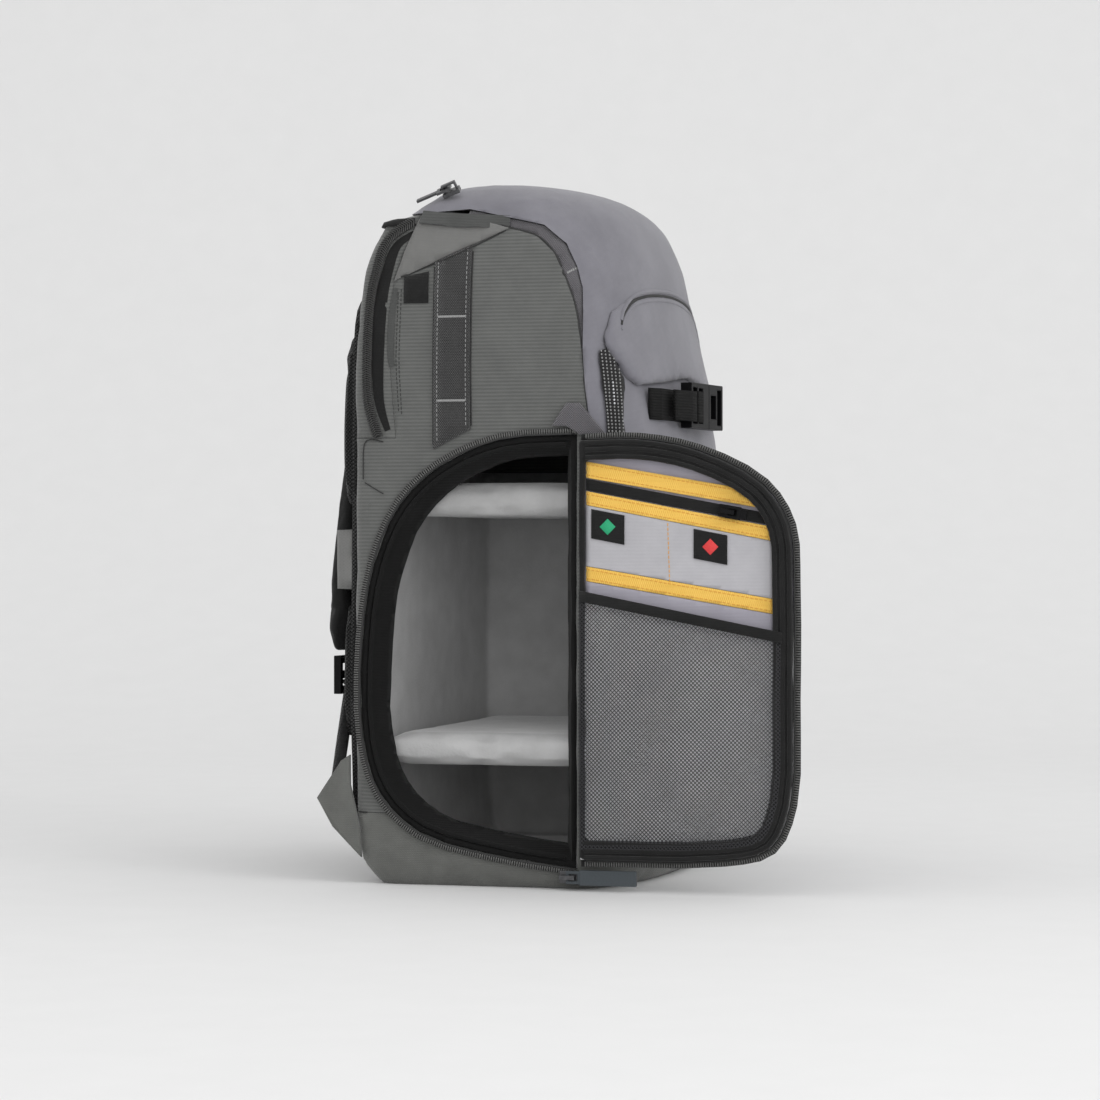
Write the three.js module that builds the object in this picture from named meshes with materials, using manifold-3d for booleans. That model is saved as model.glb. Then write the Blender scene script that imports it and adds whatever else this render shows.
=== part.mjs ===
// A standing camera backpack with its left side door swung fully open, in millimetres.
// X runs across the shoulders with the door at -X, Y runs from the front (-Y) to the harness
// (+Y) and Z is up. The origin is on the floor, in the middle of the base.

import * as THREE from "three";
import { mergeVertices } from "three/addons/utils/BufferGeometryUtils.js";
import Module from "manifold-3d";

const wasm = await Module();
wasm.setup();

// Whole bag
const HEIGHT = 467;
const WIDTH = 300;
const FRONT_DEPTH = 106;
const BACK_DEPTH = 98;
const CORNER_RADIUS = 12;
const FRONT_STEPS = 8;
const CORNER_STEPS = 3;

// Cloth and padding
const GAP = 0.3;
const CUT_PAST = 1;
const CORE_WALL = 6;
const BASE_WALL = 4;
const HOOD_WALL = 3;
const HOOD_PROUD = 1.5;
const REAR_WALL = 2.5;
const LINING_WALL = 3;
const WEBBING_THICK = 1.8;
const PATCH_THICK = 1.2;
const COIL_WIDTH = 5;
const DOOR_COIL_WIDTH = 4;
const COIL_THICK = 1.9;
const BASE_SEAM = 48;
const ZIP_GARAGE_WIDTH = 9;
const ZIP_GARAGE_SUNK = 0.6;

// Side panels
const SIDE_WEBBING_WIDTH = 25;
const SIDE_WEBBING_FRONT = 14;
const SIDE_WEBBING_BOTTOM = 302;
const SIDE_WEBBING_SLANT = 13;
const SIDE_LABEL_WIDTH = 17;
const SIDE_LABEL_HEIGHT = 21;
const SIDE_LABEL_FRONT = 43.5;
const SIDE_LABEL_BOTTOM = 386;
const SIDE_LABEL_THICK = 0.8;
const FRONT_STRIP_WIDTH = 8;

// Side door opening and what lies in it
const OPENING_FRONT = -60;
const OPENING_DEPTH = 149;
const OPENING_BOTTOM = 13;
const OPENING_HEIGHT = 286.5;
const OPENING_STEPS = 3;
const GUSSET_DEPTH = 26;
const GUSSET_TAPER = 10;
const GUSSET_WALL = 3;
const LINING_TOP = 280;
const DIVIDER_THICK = 17;
const UPPER_DIVIDER_LEVEL = 248;
const LOWER_DIVIDER_LEVEL = 80;
const DIVIDER_SET_BACK = 4;

// Door, opened flat in front of the bag's side
const DOOR_HINGE = -63;
const DOOR_DEPTH = 141;
const DOOR_BOTTOM = 21;
const DOOR_HEIGHT = 273;
const DOOR_STEPS = 3;
const DOOR_STAND_OFF = 4;
const DOOR_PANEL_THICK = 4.3;
const DOOR_RIM_WIDTH = 13;
const DOOR_RIM_HINGE_WIDTH = 4;
const DOOR_RIM_THICK = 6;
const HINGE_FOLD_WIDTH = 6;
const HINGE_CLEAR = 1;
const OPENING_ZIP_BACK = 2;
const CORNER_WEBBING_THICK = 1.5;

// Pockets in the door
const TAPE_THICK = 1.4;
const TAPE_UPPER_HEIGHT = 10.5;
const TAPE_MIDDLE_HEIGHT = 9;
const TAPE_LOWER_HEIGHT = 9.5;
const POCKET_ZIP_HEIGHT = 8;
const POCKET_PANEL_THICK = 1.5;
const TAG_THICK = 0.8;
const TAG_WIDTH = 22;
const TAG_HEIGHT = 19;
const TAG_BELOW_TAPE = 2;
const GREEN_TAG_AHEAD = 19;
const RED_TAG_AHEAD = 87;
const MESH_THICK = 1;
const MESH_BINDING_HEIGHT = 7;
const MESH_BINDING_THICK = 1.8;

// Front pocket, strap and buckle
const POCKET_WALL = 1.5;
const POCKET_PROUD_TOP = 4;
const POCKET_PROUD_BOTTOM = 11;
const STRAP_WIDTH = 21;
const STRAP_BOTTOM = 309.5;
const BUCKLE_CENTRE_X = -17;
const BUCKLE_CENTRE_Y = -114;
const BUCKLE_LEVEL = 320.8;
const BUCKLE_TURN = -0.14;
const BUCKLE_HEIGHT = 31;
const BUCKLE_THICK = 8;
const PLUG_LENGTH = 34;
const SOCKET_LENGTH = 28;
const BUCKLE_FRAME = 4;
const BUCKLE_BAR = 3.4;
const TAIL_LENGTH = 26;
const STRAP_LEAD = 3;
const STRAP_SEWN_SHARE = 0.66;
const STRAP_LIFT_SHARE = { left: 0.58, right: 0.5 };

// Back and harness
const BACK_PANEL_THICK = 4;
const BACK_PANEL_EDGE = 15;
const BACK_PANEL_WIDTH = WIDTH - 2 * BACK_PANEL_EDGE;
const BACK_PANEL_BOTTOM = 26;
const BACK_PANEL_TOP = 392;
const PAD_WIDTH = 244;
const PAD_CORNER = 18;
const UPPER_PAD_THICK = 12;
const UPPER_PAD_BOTTOM = 248;
const UPPER_PAD_TOP = 374;
const LOWER_PAD_THICK = 11;
const LOWER_PAD_BOTTOM = 92;
const LOWER_PAD_TOP = 191;
const LUGGAGE_BAND_BOTTOM = 196;
const LUGGAGE_BAND_HEIGHT = 40;
const LUGGAGE_BAND_EDGE = 4;
const LUGGAGE_BAND_WIDTH = WIDTH - 2 * LUGGAGE_BAND_EDGE;
const LUGGAGE_BAND_PROUD = 18;
const LUGGAGE_BAND_FOOT = 1;
const WING_THICK = 3;
const HANDLE_WIDTH = 24;
const HANDLE_LENGTH = 150;
const HANDLE_FOOT = 18;
const HANDLE_PROUD = 12;
const HANDLE_BOTTOM = 402;
const LOCK_WIDTH = 34;
const LOCK_HEIGHT = 26;
const LOCK_THICK = 5;

// Shoulder straps
const STRAP_HALF_WIDTH = 31;
const STRAP_PAD_THICK = 9;
const STRAP_BEVEL = 3;
const LOCK_BARS = 5;
const THREAD_SLANT = 0.3;
const ADJUSTER_DRIFT = 3;
const ANCHOR_RISE = 6;
const ANCHOR_SHARE = 0.62;

// Zip pulls
const SLIDER_LENGTH = 12;
const SLIDER_WIDTH = 8;
const SLIDER_BASE = 2.8;
const BRIDGE_WIDTH = 3;
const BRIDGE_BAR = 1.4;
const BRIDGE_REACH = 5.2;
const HINGE_HEIGHT = 2.2;
const BRIDGE_ROOM = 1.75;
const PULL_BAR = 1.8;
const PULL_WIDTH = 8.4;
const PULL_ARM = 1.9;
const PULL_WINDOW = 6.8;
const PULL_HEAD = 2.4;
const TOP_SLIDER_LIFT = 4.8;
const DOOR_PULL_BACK = 6;
const DOOR_PULL_LEVEL = 9;
const POCKET_SLIDER_SHARE = 0.7;
const TOP_PULL_PLACE = { width: 0.407, depth: 0.33, height: 0.977 };
const TOP_PULL_UP = [-0.5, 0.33, 0.86];
const TOP_PULL_ALONG = [0, 0.93, -0.357];
const PULL_TABS = {
  top: { length: 15, width: 4, thick: 1.6 },
  door: { length: 37, width: 10, thick: 2.6 },
  pocket: { length: 4, width: 6, thick: 1.6 },
};

// Horizontal sections of the bag. height is a share of HEIGHT, width of WIDTH and back of
// BACK_DEPTH. seam, where the curved front begins, and front are shares of FRONT_DEPTH.
// lift is how much of a change in thickness goes upwards there.
const SECTIONS = [
  { height: 0, width: 0.94, back: 0.82, seam: 0.53, front: 0.87, lift: -1 },
  { height: 0.013, width: 0.98, back: 0.89, seam: 0.58, front: 0.95, lift: -0.6 },
  { height: 0.038, width: 1, back: 0.95, seam: 0.623, front: 0.985, lift: -0.2 },
  { height: 0.107, width: 1, back: 0.98, seam: 0.623, front: 0.995, lift: 0 },
  { height: 0.257, width: 1, back: 1, seam: 0.623, front: 1, lift: 0 },
  { height: 0.556, width: 1, back: 0.985, seam: 0.623, front: 1, lift: 0 },
  { height: 0.643, width: 1, back: 0.985, seam: 0.623, front: 0.98, lift: 0 },
  { height: 0.743, width: 1, back: 0.985, seam: 0.585, front: 0.85, lift: 0 },
  { height: 0.796, width: 0.993, back: 0.97, seam: 0.547, front: 0.82, lift: 0 },
  { height: 0.848, width: 0.985, back: 0.95, seam: 0.49, front: 0.8, lift: 0 },
  { height: 0.9, width: 0.968, back: 0.9, seam: 0.377, front: 0.77, lift: 0.1 },
  { height: 0.944, width: 0.928, back: 0.8, seam: 0.236, front: 0.7, lift: 0.3 },
  { height: 0.955, width: 0.905, back: 0.62, seam: 0.17, front: 0.67, lift: 0.4 },
  { height: 0.974, width: 0.85, back: 0.53, seam: 0.08, front: 0.59, lift: 0.6 },
  { height: 0.991, width: 0.73, back: 0.45, seam: -0.075, front: 0.44, lift: 0.85 },
  { height: 1, width: 0.56, back: 0.367, seam: -0.132, front: 0.2, lift: 1 },
];

// Side view of the seam between the side panel and the smooth hood. depth is a share of
// FRONT_DEPTH where it is negative and of BACK_DEPTH where it is positive. garage is the
// width of the zip garage there as a share of ZIP_GARAGE_WIDTH.
const HOOD_SEAM = [
  { depth: -0.623, height: 0.668, garage: 0 },
  { depth: -0.602, height: 0.704, garage: 0 },
  { depth: -0.577, height: 0.758, garage: 0.1 },
  { depth: -0.545, height: 0.808, garage: 0.45 },
  { depth: -0.507, height: 0.839, garage: 0.8 },
  { depth: -0.456, height: 0.865, garage: 1 },
  { depth: -0.392, height: 0.895, garage: 1 },
  { depth: -0.276, height: 0.919, garage: 0.9 },
  { depth: -0.096, height: 0.932, garage: 0.7 },
  { depth: 0.204, height: 0.951, garage: 0.5 },
  { depth: 0.52, height: 0.956, garage: 0 },
];

// Side view of the middle of the front strips, from the top down.
const FRONT_STRIP = [
  { depth: -0.717, height: 0.758 },
  { depth: -0.78, height: 0.627 },
  { depth: -0.81, height: 0.424 },
  { depth: -0.8, height: 0.105 },
];

// Side view of the side panel's rear edge, from the top down.
const REAR_EDGE = [
  { depth: 0.6, height: 0.915 },
  { depth: 0.69, height: 0.859 },
  { depth: 0.72, height: 0.788 },
  { depth: 0.7, height: 0.707 },
  { depth: 0.67, height: 0.635 },
];

// Side view of the rear compartment's zip, from the top down.
const REAR_ZIP = [
  { depth: 0.57, height: 0.944 },
  { depth: 0.74, height: 0.918 },
  { depth: 0.82, height: 0.868 },
  { depth: 0.855, height: 0.82 },
  { depth: 0.868, height: 0.757 },
  { depth: 0.86, height: 0.687 },
  { depth: 0.79, height: 0.637 },
];

// Outline of the door opening as shares of its depth and height, round from the top front.
const OPENING_OUTLINE = [
  { depth: 0.01, height: 0.995 },
  { depth: 0.362, height: 0.984 },
  { depth: 0.638, height: 0.925 },
  { depth: 0.826, height: 0.835 },
  { depth: 0.945, height: 0.7 },
  { depth: 1, height: 0.52 },
  { depth: 0.995, height: 0.29 },
  { depth: 0.915, height: 0.165 },
  { depth: 0.73, height: 0.078 },
  { depth: 0.362, height: 0.028 },
  { depth: 0.01, height: 0.003 },
];

// Outline of the open door as shares of its depth, forwards of the hinge, and its height.
const DOOR_OUTLINE = [
  { depth: 0, height: 0.998 },
  { depth: 0.28, height: 1 },
  { depth: 0.56, height: 0.972 },
  { depth: 0.86, height: 0.892 },
  { depth: 0.98, height: 0.795 },
  { depth: 1, height: 0.65 },
  { depth: 1, height: 0.385 },
  { depth: 0.985, height: 0.14 },
  { depth: 0.895, height: 0.038 },
  { depth: 0.68, height: 0.008 },
  { depth: 0, height: 0 },
];

// Slanting levels in the door, as shares of its height at the hinge and at its outer edge.
const DOOR_LEVELS = {
  upperTape: { hinge: 0.932, outer: 0.842 },
  pocketZip: { hinge: 0.897, outer: 0.799 },
  middleTape: { hinge: 0.8645, outer: 0.766 },
  lowerTape: { hinge: 0.684, outer: 0.597 },
  meshTop: { hinge: 0.642, outer: 0.54 },
};

// Front view of one half of the front pocket, as shares of half the bag's width and of
// HEIGHT, from the top centre down to the bottom centre.
const FRONT_POCKET = [
  { width: 0, height: 0.853 },
  { width: 0.22, height: 0.851 },
  { width: 0.45, height: 0.845 },
  { width: 0.67, height: 0.833 },
  { width: 0.83, height: 0.812 },
  { width: 0.92, height: 0.773 },
  { width: 0.93, height: 0.765 },
  { width: 0.79, height: 0.719 },
  { width: 0.73, height: 0.71 },
  { width: 0.4, height: 0.719 },
  { width: 0, height: 0.731 },
];

// A shoulder strap from its top seam down. along is the place up the bag as a share of
// HEIGHT, across a share of WIDTH, stand_off is beyond the back surface in millimetres and
// half the width and the thickness are shares of STRAP_HALF_WIDTH and STRAP_PAD_THICK.
const SHOULDER_STRAP = [
  { along: 0.854, across: 0.125, stand_off: 1, half: 0.85, thick: 0.6 },
  { along: 0.811, across: 0.13, stand_off: 17.4, half: 0.95, thick: 0.9 },
  { along: 0.778, across: 0.135, stand_off: 17.4, half: 1, thick: 1 },
  { along: 0.667, across: 0.16, stand_off: 17.4, half: 1, thick: 1 },
  { along: 0.546, across: 0.205, stand_off: 20.5, half: 1, thick: 1 },
  { along: 0.435, across: 0.26, stand_off: 20.5, half: 0.97, thick: 1 },
  { along: 0.359, across: 0.295, stand_off: 20, half: 0.86, thick: 0.9 },
  { along: 0.323, across: 0.31, stand_off: 20, half: 0.5, thick: 0.7 },
];

// Side view of the wing that anchors a shoulder strap low on the bag, as offsets back from
// BACK_DEPTH and heights, both in millimetres.
const WING_OUTLINE = [
  { back: 0, height: 86 },
  { back: 6, height: 82 },
  { back: 23, height: 57 },
  { back: 12, height: 38 },
  { back: -8, height: 18 },
  { back: -7, height: 37 },
  { back: 0, height: 66 },
];

// Side view of the short webbing at the opening's top front corner, in millimetres from it.
const CORNER_WEBBING = [
  { back: 18, up: 4 },
  { back: 8, up: 19 },
  { back: -1, up: 19 },
  { back: -20, up: -3 },
  { back: -5, up: -4 },
  { back: 8, up: 4 },
];

// Each finish: its colour, roughness and metalness.
const COLOURS = {
  hood: ["#85848b", 0.65, 0],
  side: ["#636463", 0.9, 0],
  patch: ["#6e6e6d", 0.9, 0],
  base: ["#60615f", 0.9, 0],
  black: ["#1e1e1e", 0.85, 0],
  webbing: ["#3a3a3a", 0.8, 0],
  strip: ["#55555a", 0.8, 0],
  lining: ["#b5b5b5", 0.95, 0],
  door: ["#b4b3b5", 0.9, 0],
  yellow: ["#ebc05a", 0.8, 0],
  green: ["#20a070", 0.8, 0],
  red: ["#d83a3a", 0.8, 0],
  mesh: ["#2a2a2c", 0.8, 0],
  plastic: ["#232325", 0.45, 0],
  metal: ["#3b3b3d", 0.35, 0.9],
  rubber: ["#454b50", 0.6, 0],
};

const FAR = 2 * HEIGHT;
const bag = new THREE.Group();
const materials = {};

// Returns the one material that goes with a finish name.
function materialOf(finish) {
  if (!materials[finish]) {
    const [color, roughness, metalness] = COLOURS[finish];
    materials[finish] = new THREE.MeshStandardMaterial({ color, roughness, metalness });
  }
  return materials[finish];
}

// Makes a solid of a closed three.js geometry.
function solidOf(geometry) {
  const plain = geometry.clone();
  plain.deleteAttribute("normal");
  plain.deleteAttribute("uv");
  const merged = mergeVertices(plain, 1e-4);
  const mesh = new wasm.Mesh({
    numProp: 3,
    vertProperties: new Float32Array(merged.attributes.position.array),
    triVerts: new Uint32Array(merged.index.array),
  });
  return new wasm.Manifold(mesh);
}

// Adds a solid to the bag as a named mesh.
function add(name, finish, solid) {
  const result = solid.getMesh();
  const geometry = new THREE.BufferGeometry();
  geometry.setAttribute("position", new THREE.Float32BufferAttribute(result.vertProperties, 3));
  geometry.setIndex(Array.from(result.triVerts));
  geometry.computeVertexNormals();
  const mesh = new THREE.Mesh(geometry, materialOf(finish));
  mesh.name = name;
  bag.add(mesh);
}

// Joins rings of points, which all have the same count, into one closed solid.
function loft(rings) {
  const count = rings[0].length;
  const positions = rings.flat(2);
  const faces = [];
  for (let level = 0; level + 1 < rings.length; level += 1) {
    for (let i = 0; i < count; i += 1) {
      const a = level * count + i;
      const b = level * count + ((i + 1) % count);
      faces.push(a, b, b + count, a, b + count, a + count);
    }
  }
  for (let i = 1; i + 1 < count; i += 1) {
    const top = (rings.length - 1) * count;
    faces.push(0, i + 1, i, top, top + i, top + i + 1);
  }
  const geometry = new THREE.BufferGeometry();
  geometry.setAttribute("position", new THREE.Float32BufferAttribute(positions, 3));
  geometry.setIndex(faces);
  return solidOf(geometry);
}

// Makes a box from its lowest and highest corners.
function box(low, high) {
  const size = high.map((value, i) => value - low[i]);
  const geometry = new THREE.BoxGeometry(...size);
  geometry.translate(...high.map((value, i) => (value + low[i]) / 2));
  return solidOf(geometry);
}

// Extrudes an outline of [u, v] points by depth. place turns u, v and the depth into X, Y, Z.
function extrude(outline, depth, place) {
  const shape = new THREE.Shape(outline.map(([u, v]) => new THREE.Vector2(u, v)));
  const geometry = new THREE.ExtrudeGeometry(shape, { depth, bevelEnabled: false });
  geometry.applyMatrix4(place);
  return solidOf(geometry);
}

// Extrudes a side view, [Y, Z] points, from X = low to X = high.
function sidePrism(outline, low, high) {
  const place = new THREE.Matrix4().set(0, 0, 1, low, 1, 0, 0, 0, 0, 1, 0, 0, 0, 0, 0, 1);
  return extrude(outline, high - low, place);
}

// Extrudes a front view, [X, Z] points, from Y = low to Y = high.
function frontPrism(outline, low, high) {
  const place = new THREE.Matrix4().set(1, 0, 0, 0, 0, 0, -1, high, 0, 1, 0, 0, 0, 0, 0, 1);
  return extrude(outline, high - low, place);
}

// Extrudes a plan view, [X, Y] points, from Z = low to Z = high.
function planPrism(outline, low, high) {
  return extrude(outline, high - low, new THREE.Matrix4().makeTranslation(0, 0, low));
}

// A side view point from shares of the bag's depth and height.
function sidePoint({ depth, height }) {
  return [depth * (depth < 0 ? FRONT_DEPTH : BACK_DEPTH), height * HEIGHT];
}

// Moves an open or closed line of points sideways, to its left, by one distance per point.
function offsetLine(points, distances, closed) {
  const last = points.length - 1;
  return points.map(([u, v], i) => {
    const before = points[i > 0 ? i - 1 : closed ? last : 0];
    const after = points[i < last ? i + 1 : closed ? 0 : last];
    const inward = new THREE.Vector2(u - before[0], v - before[1]).normalize();
    const outward = new THREE.Vector2(after[0] - u, after[1] - v).normalize();
    const along = inward.clone().add(outward).normalize();
    const sharpness = Math.max(along.dot(outward) || along.dot(inward), 0.5);
    const distance = distances[i] / sharpness;
    return [u - along.y * distance, v + along.x * distance];
  });
}

// Moves a closed outline that runs anticlockwise outwards by one distance.
function grow(outline, distance) {
  const distances = outline.map(() => -distance);
  return offsetLine(outline, distances, true);
}

// A smooth line of points through a few given ones.
function smooth(points, steps) {
  const curve = new THREE.CatmullRomCurve3(
    points.map(([u, v]) => new THREE.Vector3(u, v, 0)),
    false,
    "centripetal",
  );
  const line = [];
  const spans = points.length - 1;
  for (let i = 0; i <= spans * steps; i += 1) {
    const { x, y } = curve.getPoint(i / (spans * steps));
    line.push([x, y]);
  }
  return line;
}

// A band with the given half width along a line of points.
function bandOutline(line, half) {
  const one = offsetLine(line, line.map(() => half), false);
  const other = offsetLine(line, line.map(() => -half), false);
  return one.concat(other.reverse());
}

// One horizontal section of the bag, grown outwards by offset, anticlockwise from above.
function sectionRing(row, offset) {
  const half = (row.width * WIDTH) / 2 + offset;
  const back = row.back * BACK_DEPTH + offset;
  const seam = -row.seam * FRONT_DEPTH;
  const front = row.front * FRONT_DEPTH + offset + seam;
  const radius = CORNER_RADIUS + offset / 2;
  const z = row.height * HEIGHT + row.lift * offset;
  const right = [];
  for (let i = 0; i <= FRONT_STEPS; i += 1) {
    const angle = (i / FRONT_STEPS) * (Math.PI / 2);
    right.push([half * Math.sin(angle), seam - front * Math.cos(angle), z]);
  }
  for (let i = 0; i <= CORNER_STEPS; i += 1) {
    const angle = (i / CORNER_STEPS) * (Math.PI / 2);
    const x = half - radius + radius * Math.cos(angle);
    right.push([x, back - radius + radius * Math.sin(angle), z]);
  }
  const left = right.slice(1).map(([x, y]) => [-x, y, z]);
  return right.concat(left.reverse());
}

// The bag's whole outer form, grown by offset, or by a function of height.
function form(offset) {
  const offsetAt = typeof offset === "function" ? offset : () => offset;
  return loft(SECTIONS.map((row) => sectionRing(row, offsetAt(row.height * HEIGHT))));
}

// A layer on the bag's form between two offsets.
function layer(inner, outer) {
  return form(outer).subtract(form(inner));
}

// The value of one column of the sections at a height, as a share of its size.
function sectionAt(column, z) {
  const share = Math.min(Math.max(z / HEIGHT, 0), 1);
  const above = Math.max(SECTIONS.findIndex((row) => row.height >= share), 1);
  const [low, high] = [SECTIONS[above - 1], SECTIONS[above]];
  const t = (share - low.height) / (high.height - low.height);
  return low[column] + (high[column] - low[column]) * t;
}

// The depth of the bag's back surface at a height.
function backAt(z) {
  return sectionAt("back", z) * BACK_DEPTH;
}

const LEFT_HALF = () => box([-FAR, -FAR, -FAR], [0, FAR, FAR]);
const RIGHT_HALF = () => box([0, -FAR, -FAR], [FAR, FAR, FAR]);

// Side views that divide the bag's shell into its panels
const seamLine = HOOD_SEAM.map(sidePoint);
const seamFoot = [seamLine[0][0], BASE_SEAM];
const frontSeam = [seamFoot, ...seamLine];
const garageWidths = HOOD_SEAM.map((row) => row.garage * ZIP_GARAGE_WIDTH);
const garageLine = offsetLine(seamLine, garageWidths, false);
const rearEdge = REAR_EDGE.map(sidePoint);
const ledge = rearEdge[rearEdge.length - 1][1];
const rearFoot = [
  [FAR, ledge],
  [FAR, BASE_SEAM],
];
const hoodLevel = seamLine[seamLine.length - 1][1];
const firstGarage = HOOD_SEAM.findIndex((row) => row.garage > 0);
const [rearTop, rearShoulder] = rearEdge;
const patchRow = HOOD_SEAM.length - 3;
const patchFront = [seamLine[patchRow][0], seamLine[patchRow][1] - GAP];
const patchBack = [rearShoulder[0] - GAP, rearShoulder[1]];

// The padded core: side panels with front and back walls, open at the top and the bottom.
function mainBody() {
  const outline = [...frontSeam, ...rearEdge, ...rearFoot].reverse();
  const hollowFront = seamFoot[0] + CORE_WALL;
  const hollowBack = rearEdge.map(([y, z]) => [y - CORE_WALL, z]);
  const hollow = [
    [hollowFront, -FAR],
    [BACK_DEPTH, -FAR],
    [BACK_DEPTH, ledge - CORE_WALL],
    ...hollowBack.toReversed(),
    [hollowBack[0][0], FAR],
    [hollowFront, FAR],
  ];
  const outer = form(0).intersect(sidePrism(outline, -FAR, FAR));
  const inner = form(-CORE_WALL).intersect(sidePrism(hollow, -FAR, FAR));
  return outer.subtract(inner).subtract(openingPrism(0));
}

// The base: a tray of plain cloth with a padded floor.
function basePanel() {
  const below = box([-FAR, -FAR, -FAR], [FAR, FAR, BASE_SEAM - GAP]);
  return layer(-BASE_WALL, 0).intersect(below).subtract(openingPrism(0));
}

// The smooth hood and front panel, one shell that is open towards the core.
function hoodFrontPanel() {
  const edge = [seamFoot, seamLine[0], ...garageLine.slice(1)].map(([y, z]) => [y - GAP, z + GAP]);
  const region = [
    [-FAR, BASE_SEAM + GAP],
    ...edge,
    [FAR, edge[edge.length - 1][1]],
    [FAR, FAR],
    [-FAR, FAR],
  ];
  return layer(HOOD_PROUD - HOOD_WALL, HOOD_PROUD).intersect(sidePrism(region, -FAR, FAR));
}

// The zip garage: a narrow sunk band between a side panel and the hood.
function zipGarages() {
  const upper = garageLine.slice(firstGarage, -1).map(([y, z]) => [y, z - GAP / 2]);
  const lower = seamLine.slice(firstGarage, -1).map(([y, z]) => [y, z + GAP]);
  const band = sidePrism(upper.concat(lower.reverse()).reverse(), -FAR, FAR);
  const sunk = layer(-ZIP_GARAGE_SUNK - WEBBING_THICK, -ZIP_GARAGE_SUNK);
  const both = sunk.intersect(band);
  add("top_zip_garage_left", "webbing", both.intersect(LEFT_HALF()));
  add("top_zip_garage_right", "webbing", both.intersect(RIGHT_HALF()));
}

// The rear compartment: a shell behind the core that is open towards it.
function rearCompartment() {
  const front = rearEdge.map(([y, z]) => [y + GAP, z]);
  const foot = ledge + GAP;
  const [crownY] = seamLine[seamLine.length - 1];
  const region = [
    [front[front.length - 1][0], foot],
    [FAR, foot],
    [FAR, hoodLevel - GAP],
    [crownY + GAP, hoodLevel - GAP],
    ...front.slice(0, -1),
  ];
  return layer(-REAR_WALL, 0).intersect(sidePrism(region, -FAR, FAR));
}

// The rear compartment's zip, which runs up one side, over the back and down the other.
function rearZip() {
  const line = smooth(REAR_ZIP.map(sidePoint), 2);
  const band = sidePrism(bandOutline(line, COIL_WIDTH / 2), -FAR, FAR);
  const [topY, topZ] = line[0];
  const across = box([-FAR, topY, topZ - COIL_WIDTH / 2], [FAR, FAR, topZ + COIL_WIDTH / 2]);
  return layer(GAP, GAP + COIL_THICK).intersect(band.add(across));
}

// The height of the corner patch's slanting lower edge, which runs from the hood back to the
// side panel's rear edge.
function patchEdgeAt(y) {
  const t = (y - patchFront[0]) / (patchBack[0] - patchFront[0]);
  return patchFront[1] + (patchBack[1] - patchFront[1]) * t;
}

// The triangles of plain cloth over the upper rear corners of the side panels.
function cornerPatches() {
  const crown = seamLine.slice(patchRow + 1).map(([y, z]) => [y, z - GAP]);
  const outline = [patchFront, patchBack, [rearTop[0] - GAP, rearTop[1]], ...crown.reverse()];
  const both = layer(GAP, GAP + PATCH_THICK).intersect(sidePrism(outline, -FAR, FAR));
  add("corner_patch_left", "patch", both.intersect(LEFT_HALF()));
  add("corner_patch_right", "patch", both.intersect(RIGHT_HALF()));
}

// The upright webbing on each side panel, from the corner patch down to the door's zip.
function sideWebbings() {
  const rear = SIDE_WEBBING_FRONT + SIDE_WEBBING_WIDTH;
  const outline = [
    [SIDE_WEBBING_FRONT, SIDE_WEBBING_BOTTOM],
    [rear, SIDE_WEBBING_BOTTOM - SIDE_WEBBING_SLANT],
    [rear, patchEdgeAt(rear) - 2 * GAP],
    [SIDE_WEBBING_FRONT, patchEdgeAt(SIDE_WEBBING_FRONT) - 2 * GAP],
  ];
  const both = layer(GAP, GAP + WEBBING_THICK).intersect(sidePrism(outline, -FAR, FAR));
  add("side_webbing_left", "webbing", both.intersect(LEFT_HALF()));
  add("side_webbing_right", "webbing", both.intersect(RIGHT_HALF()));
}

// The plain black label sewn under the corner patch.
function sideLabel() {
  const rear = SIDE_LABEL_FRONT + SIDE_LABEL_WIDTH;
  const top = patchEdgeAt(SIDE_LABEL_FRONT) - 2 * GAP;
  const rearTop = patchEdgeAt(rear) - 2 * GAP;
  const outline = [
    [SIDE_LABEL_FRONT, SIDE_LABEL_BOTTOM],
    [rear, SIDE_LABEL_BOTTOM],
    [rear, Math.min(rearTop, SIDE_LABEL_BOTTOM + SIDE_LABEL_HEIGHT)],
    [SIDE_LABEL_FRONT, Math.min(top, SIDE_LABEL_BOTTOM + SIDE_LABEL_HEIGHT)],
  ];
  const band = sidePrism(outline, -FAR, 0);
  add("side_label", "black", layer(GAP, GAP + SIDE_LABEL_THICK).intersect(band));
}

// The outline of the door opening in side view, grown by distance.
function openingOutline(distance) {
  const points = OPENING_OUTLINE.map(({ depth, height }) => [
    OPENING_FRONT + depth * OPENING_DEPTH,
    OPENING_BOTTOM + height * OPENING_HEIGHT,
  ]);
  return grow(smooth(points, OPENING_STEPS).reverse(), distance);
}

// What the door opening takes out of the left wall, grown by distance.
function openingPrism(distance) {
  return sidePrism(openingOutline(distance), -FAR, -WIDTH / 2 + 2 * CORE_WALL);
}

// A ring of side view points at one X.
function ringAt(outline, x) {
  return outline.map(([y, z]) => [x, y, z]);
}

// The black gusset that narrows from the opening's edge into the bag.
function openingGusset() {
  const mouth = -WIDTH / 2;
  const throat = mouth + GUSSET_DEPTH;
  const outer = loft([
    ringAt(openingOutline(-GAP), mouth),
    ringAt(openingOutline(-GAP - GUSSET_TAPER), throat),
  ]);
  const inner = loft([
    ringAt(openingOutline(-GAP - GUSSET_WALL), mouth - CUT_PAST),
    ringAt(openingOutline(-GAP - GUSSET_WALL - GUSSET_TAPER), throat + CUT_PAST),
  ]);
  return outer.subtract(inner);
}

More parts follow.
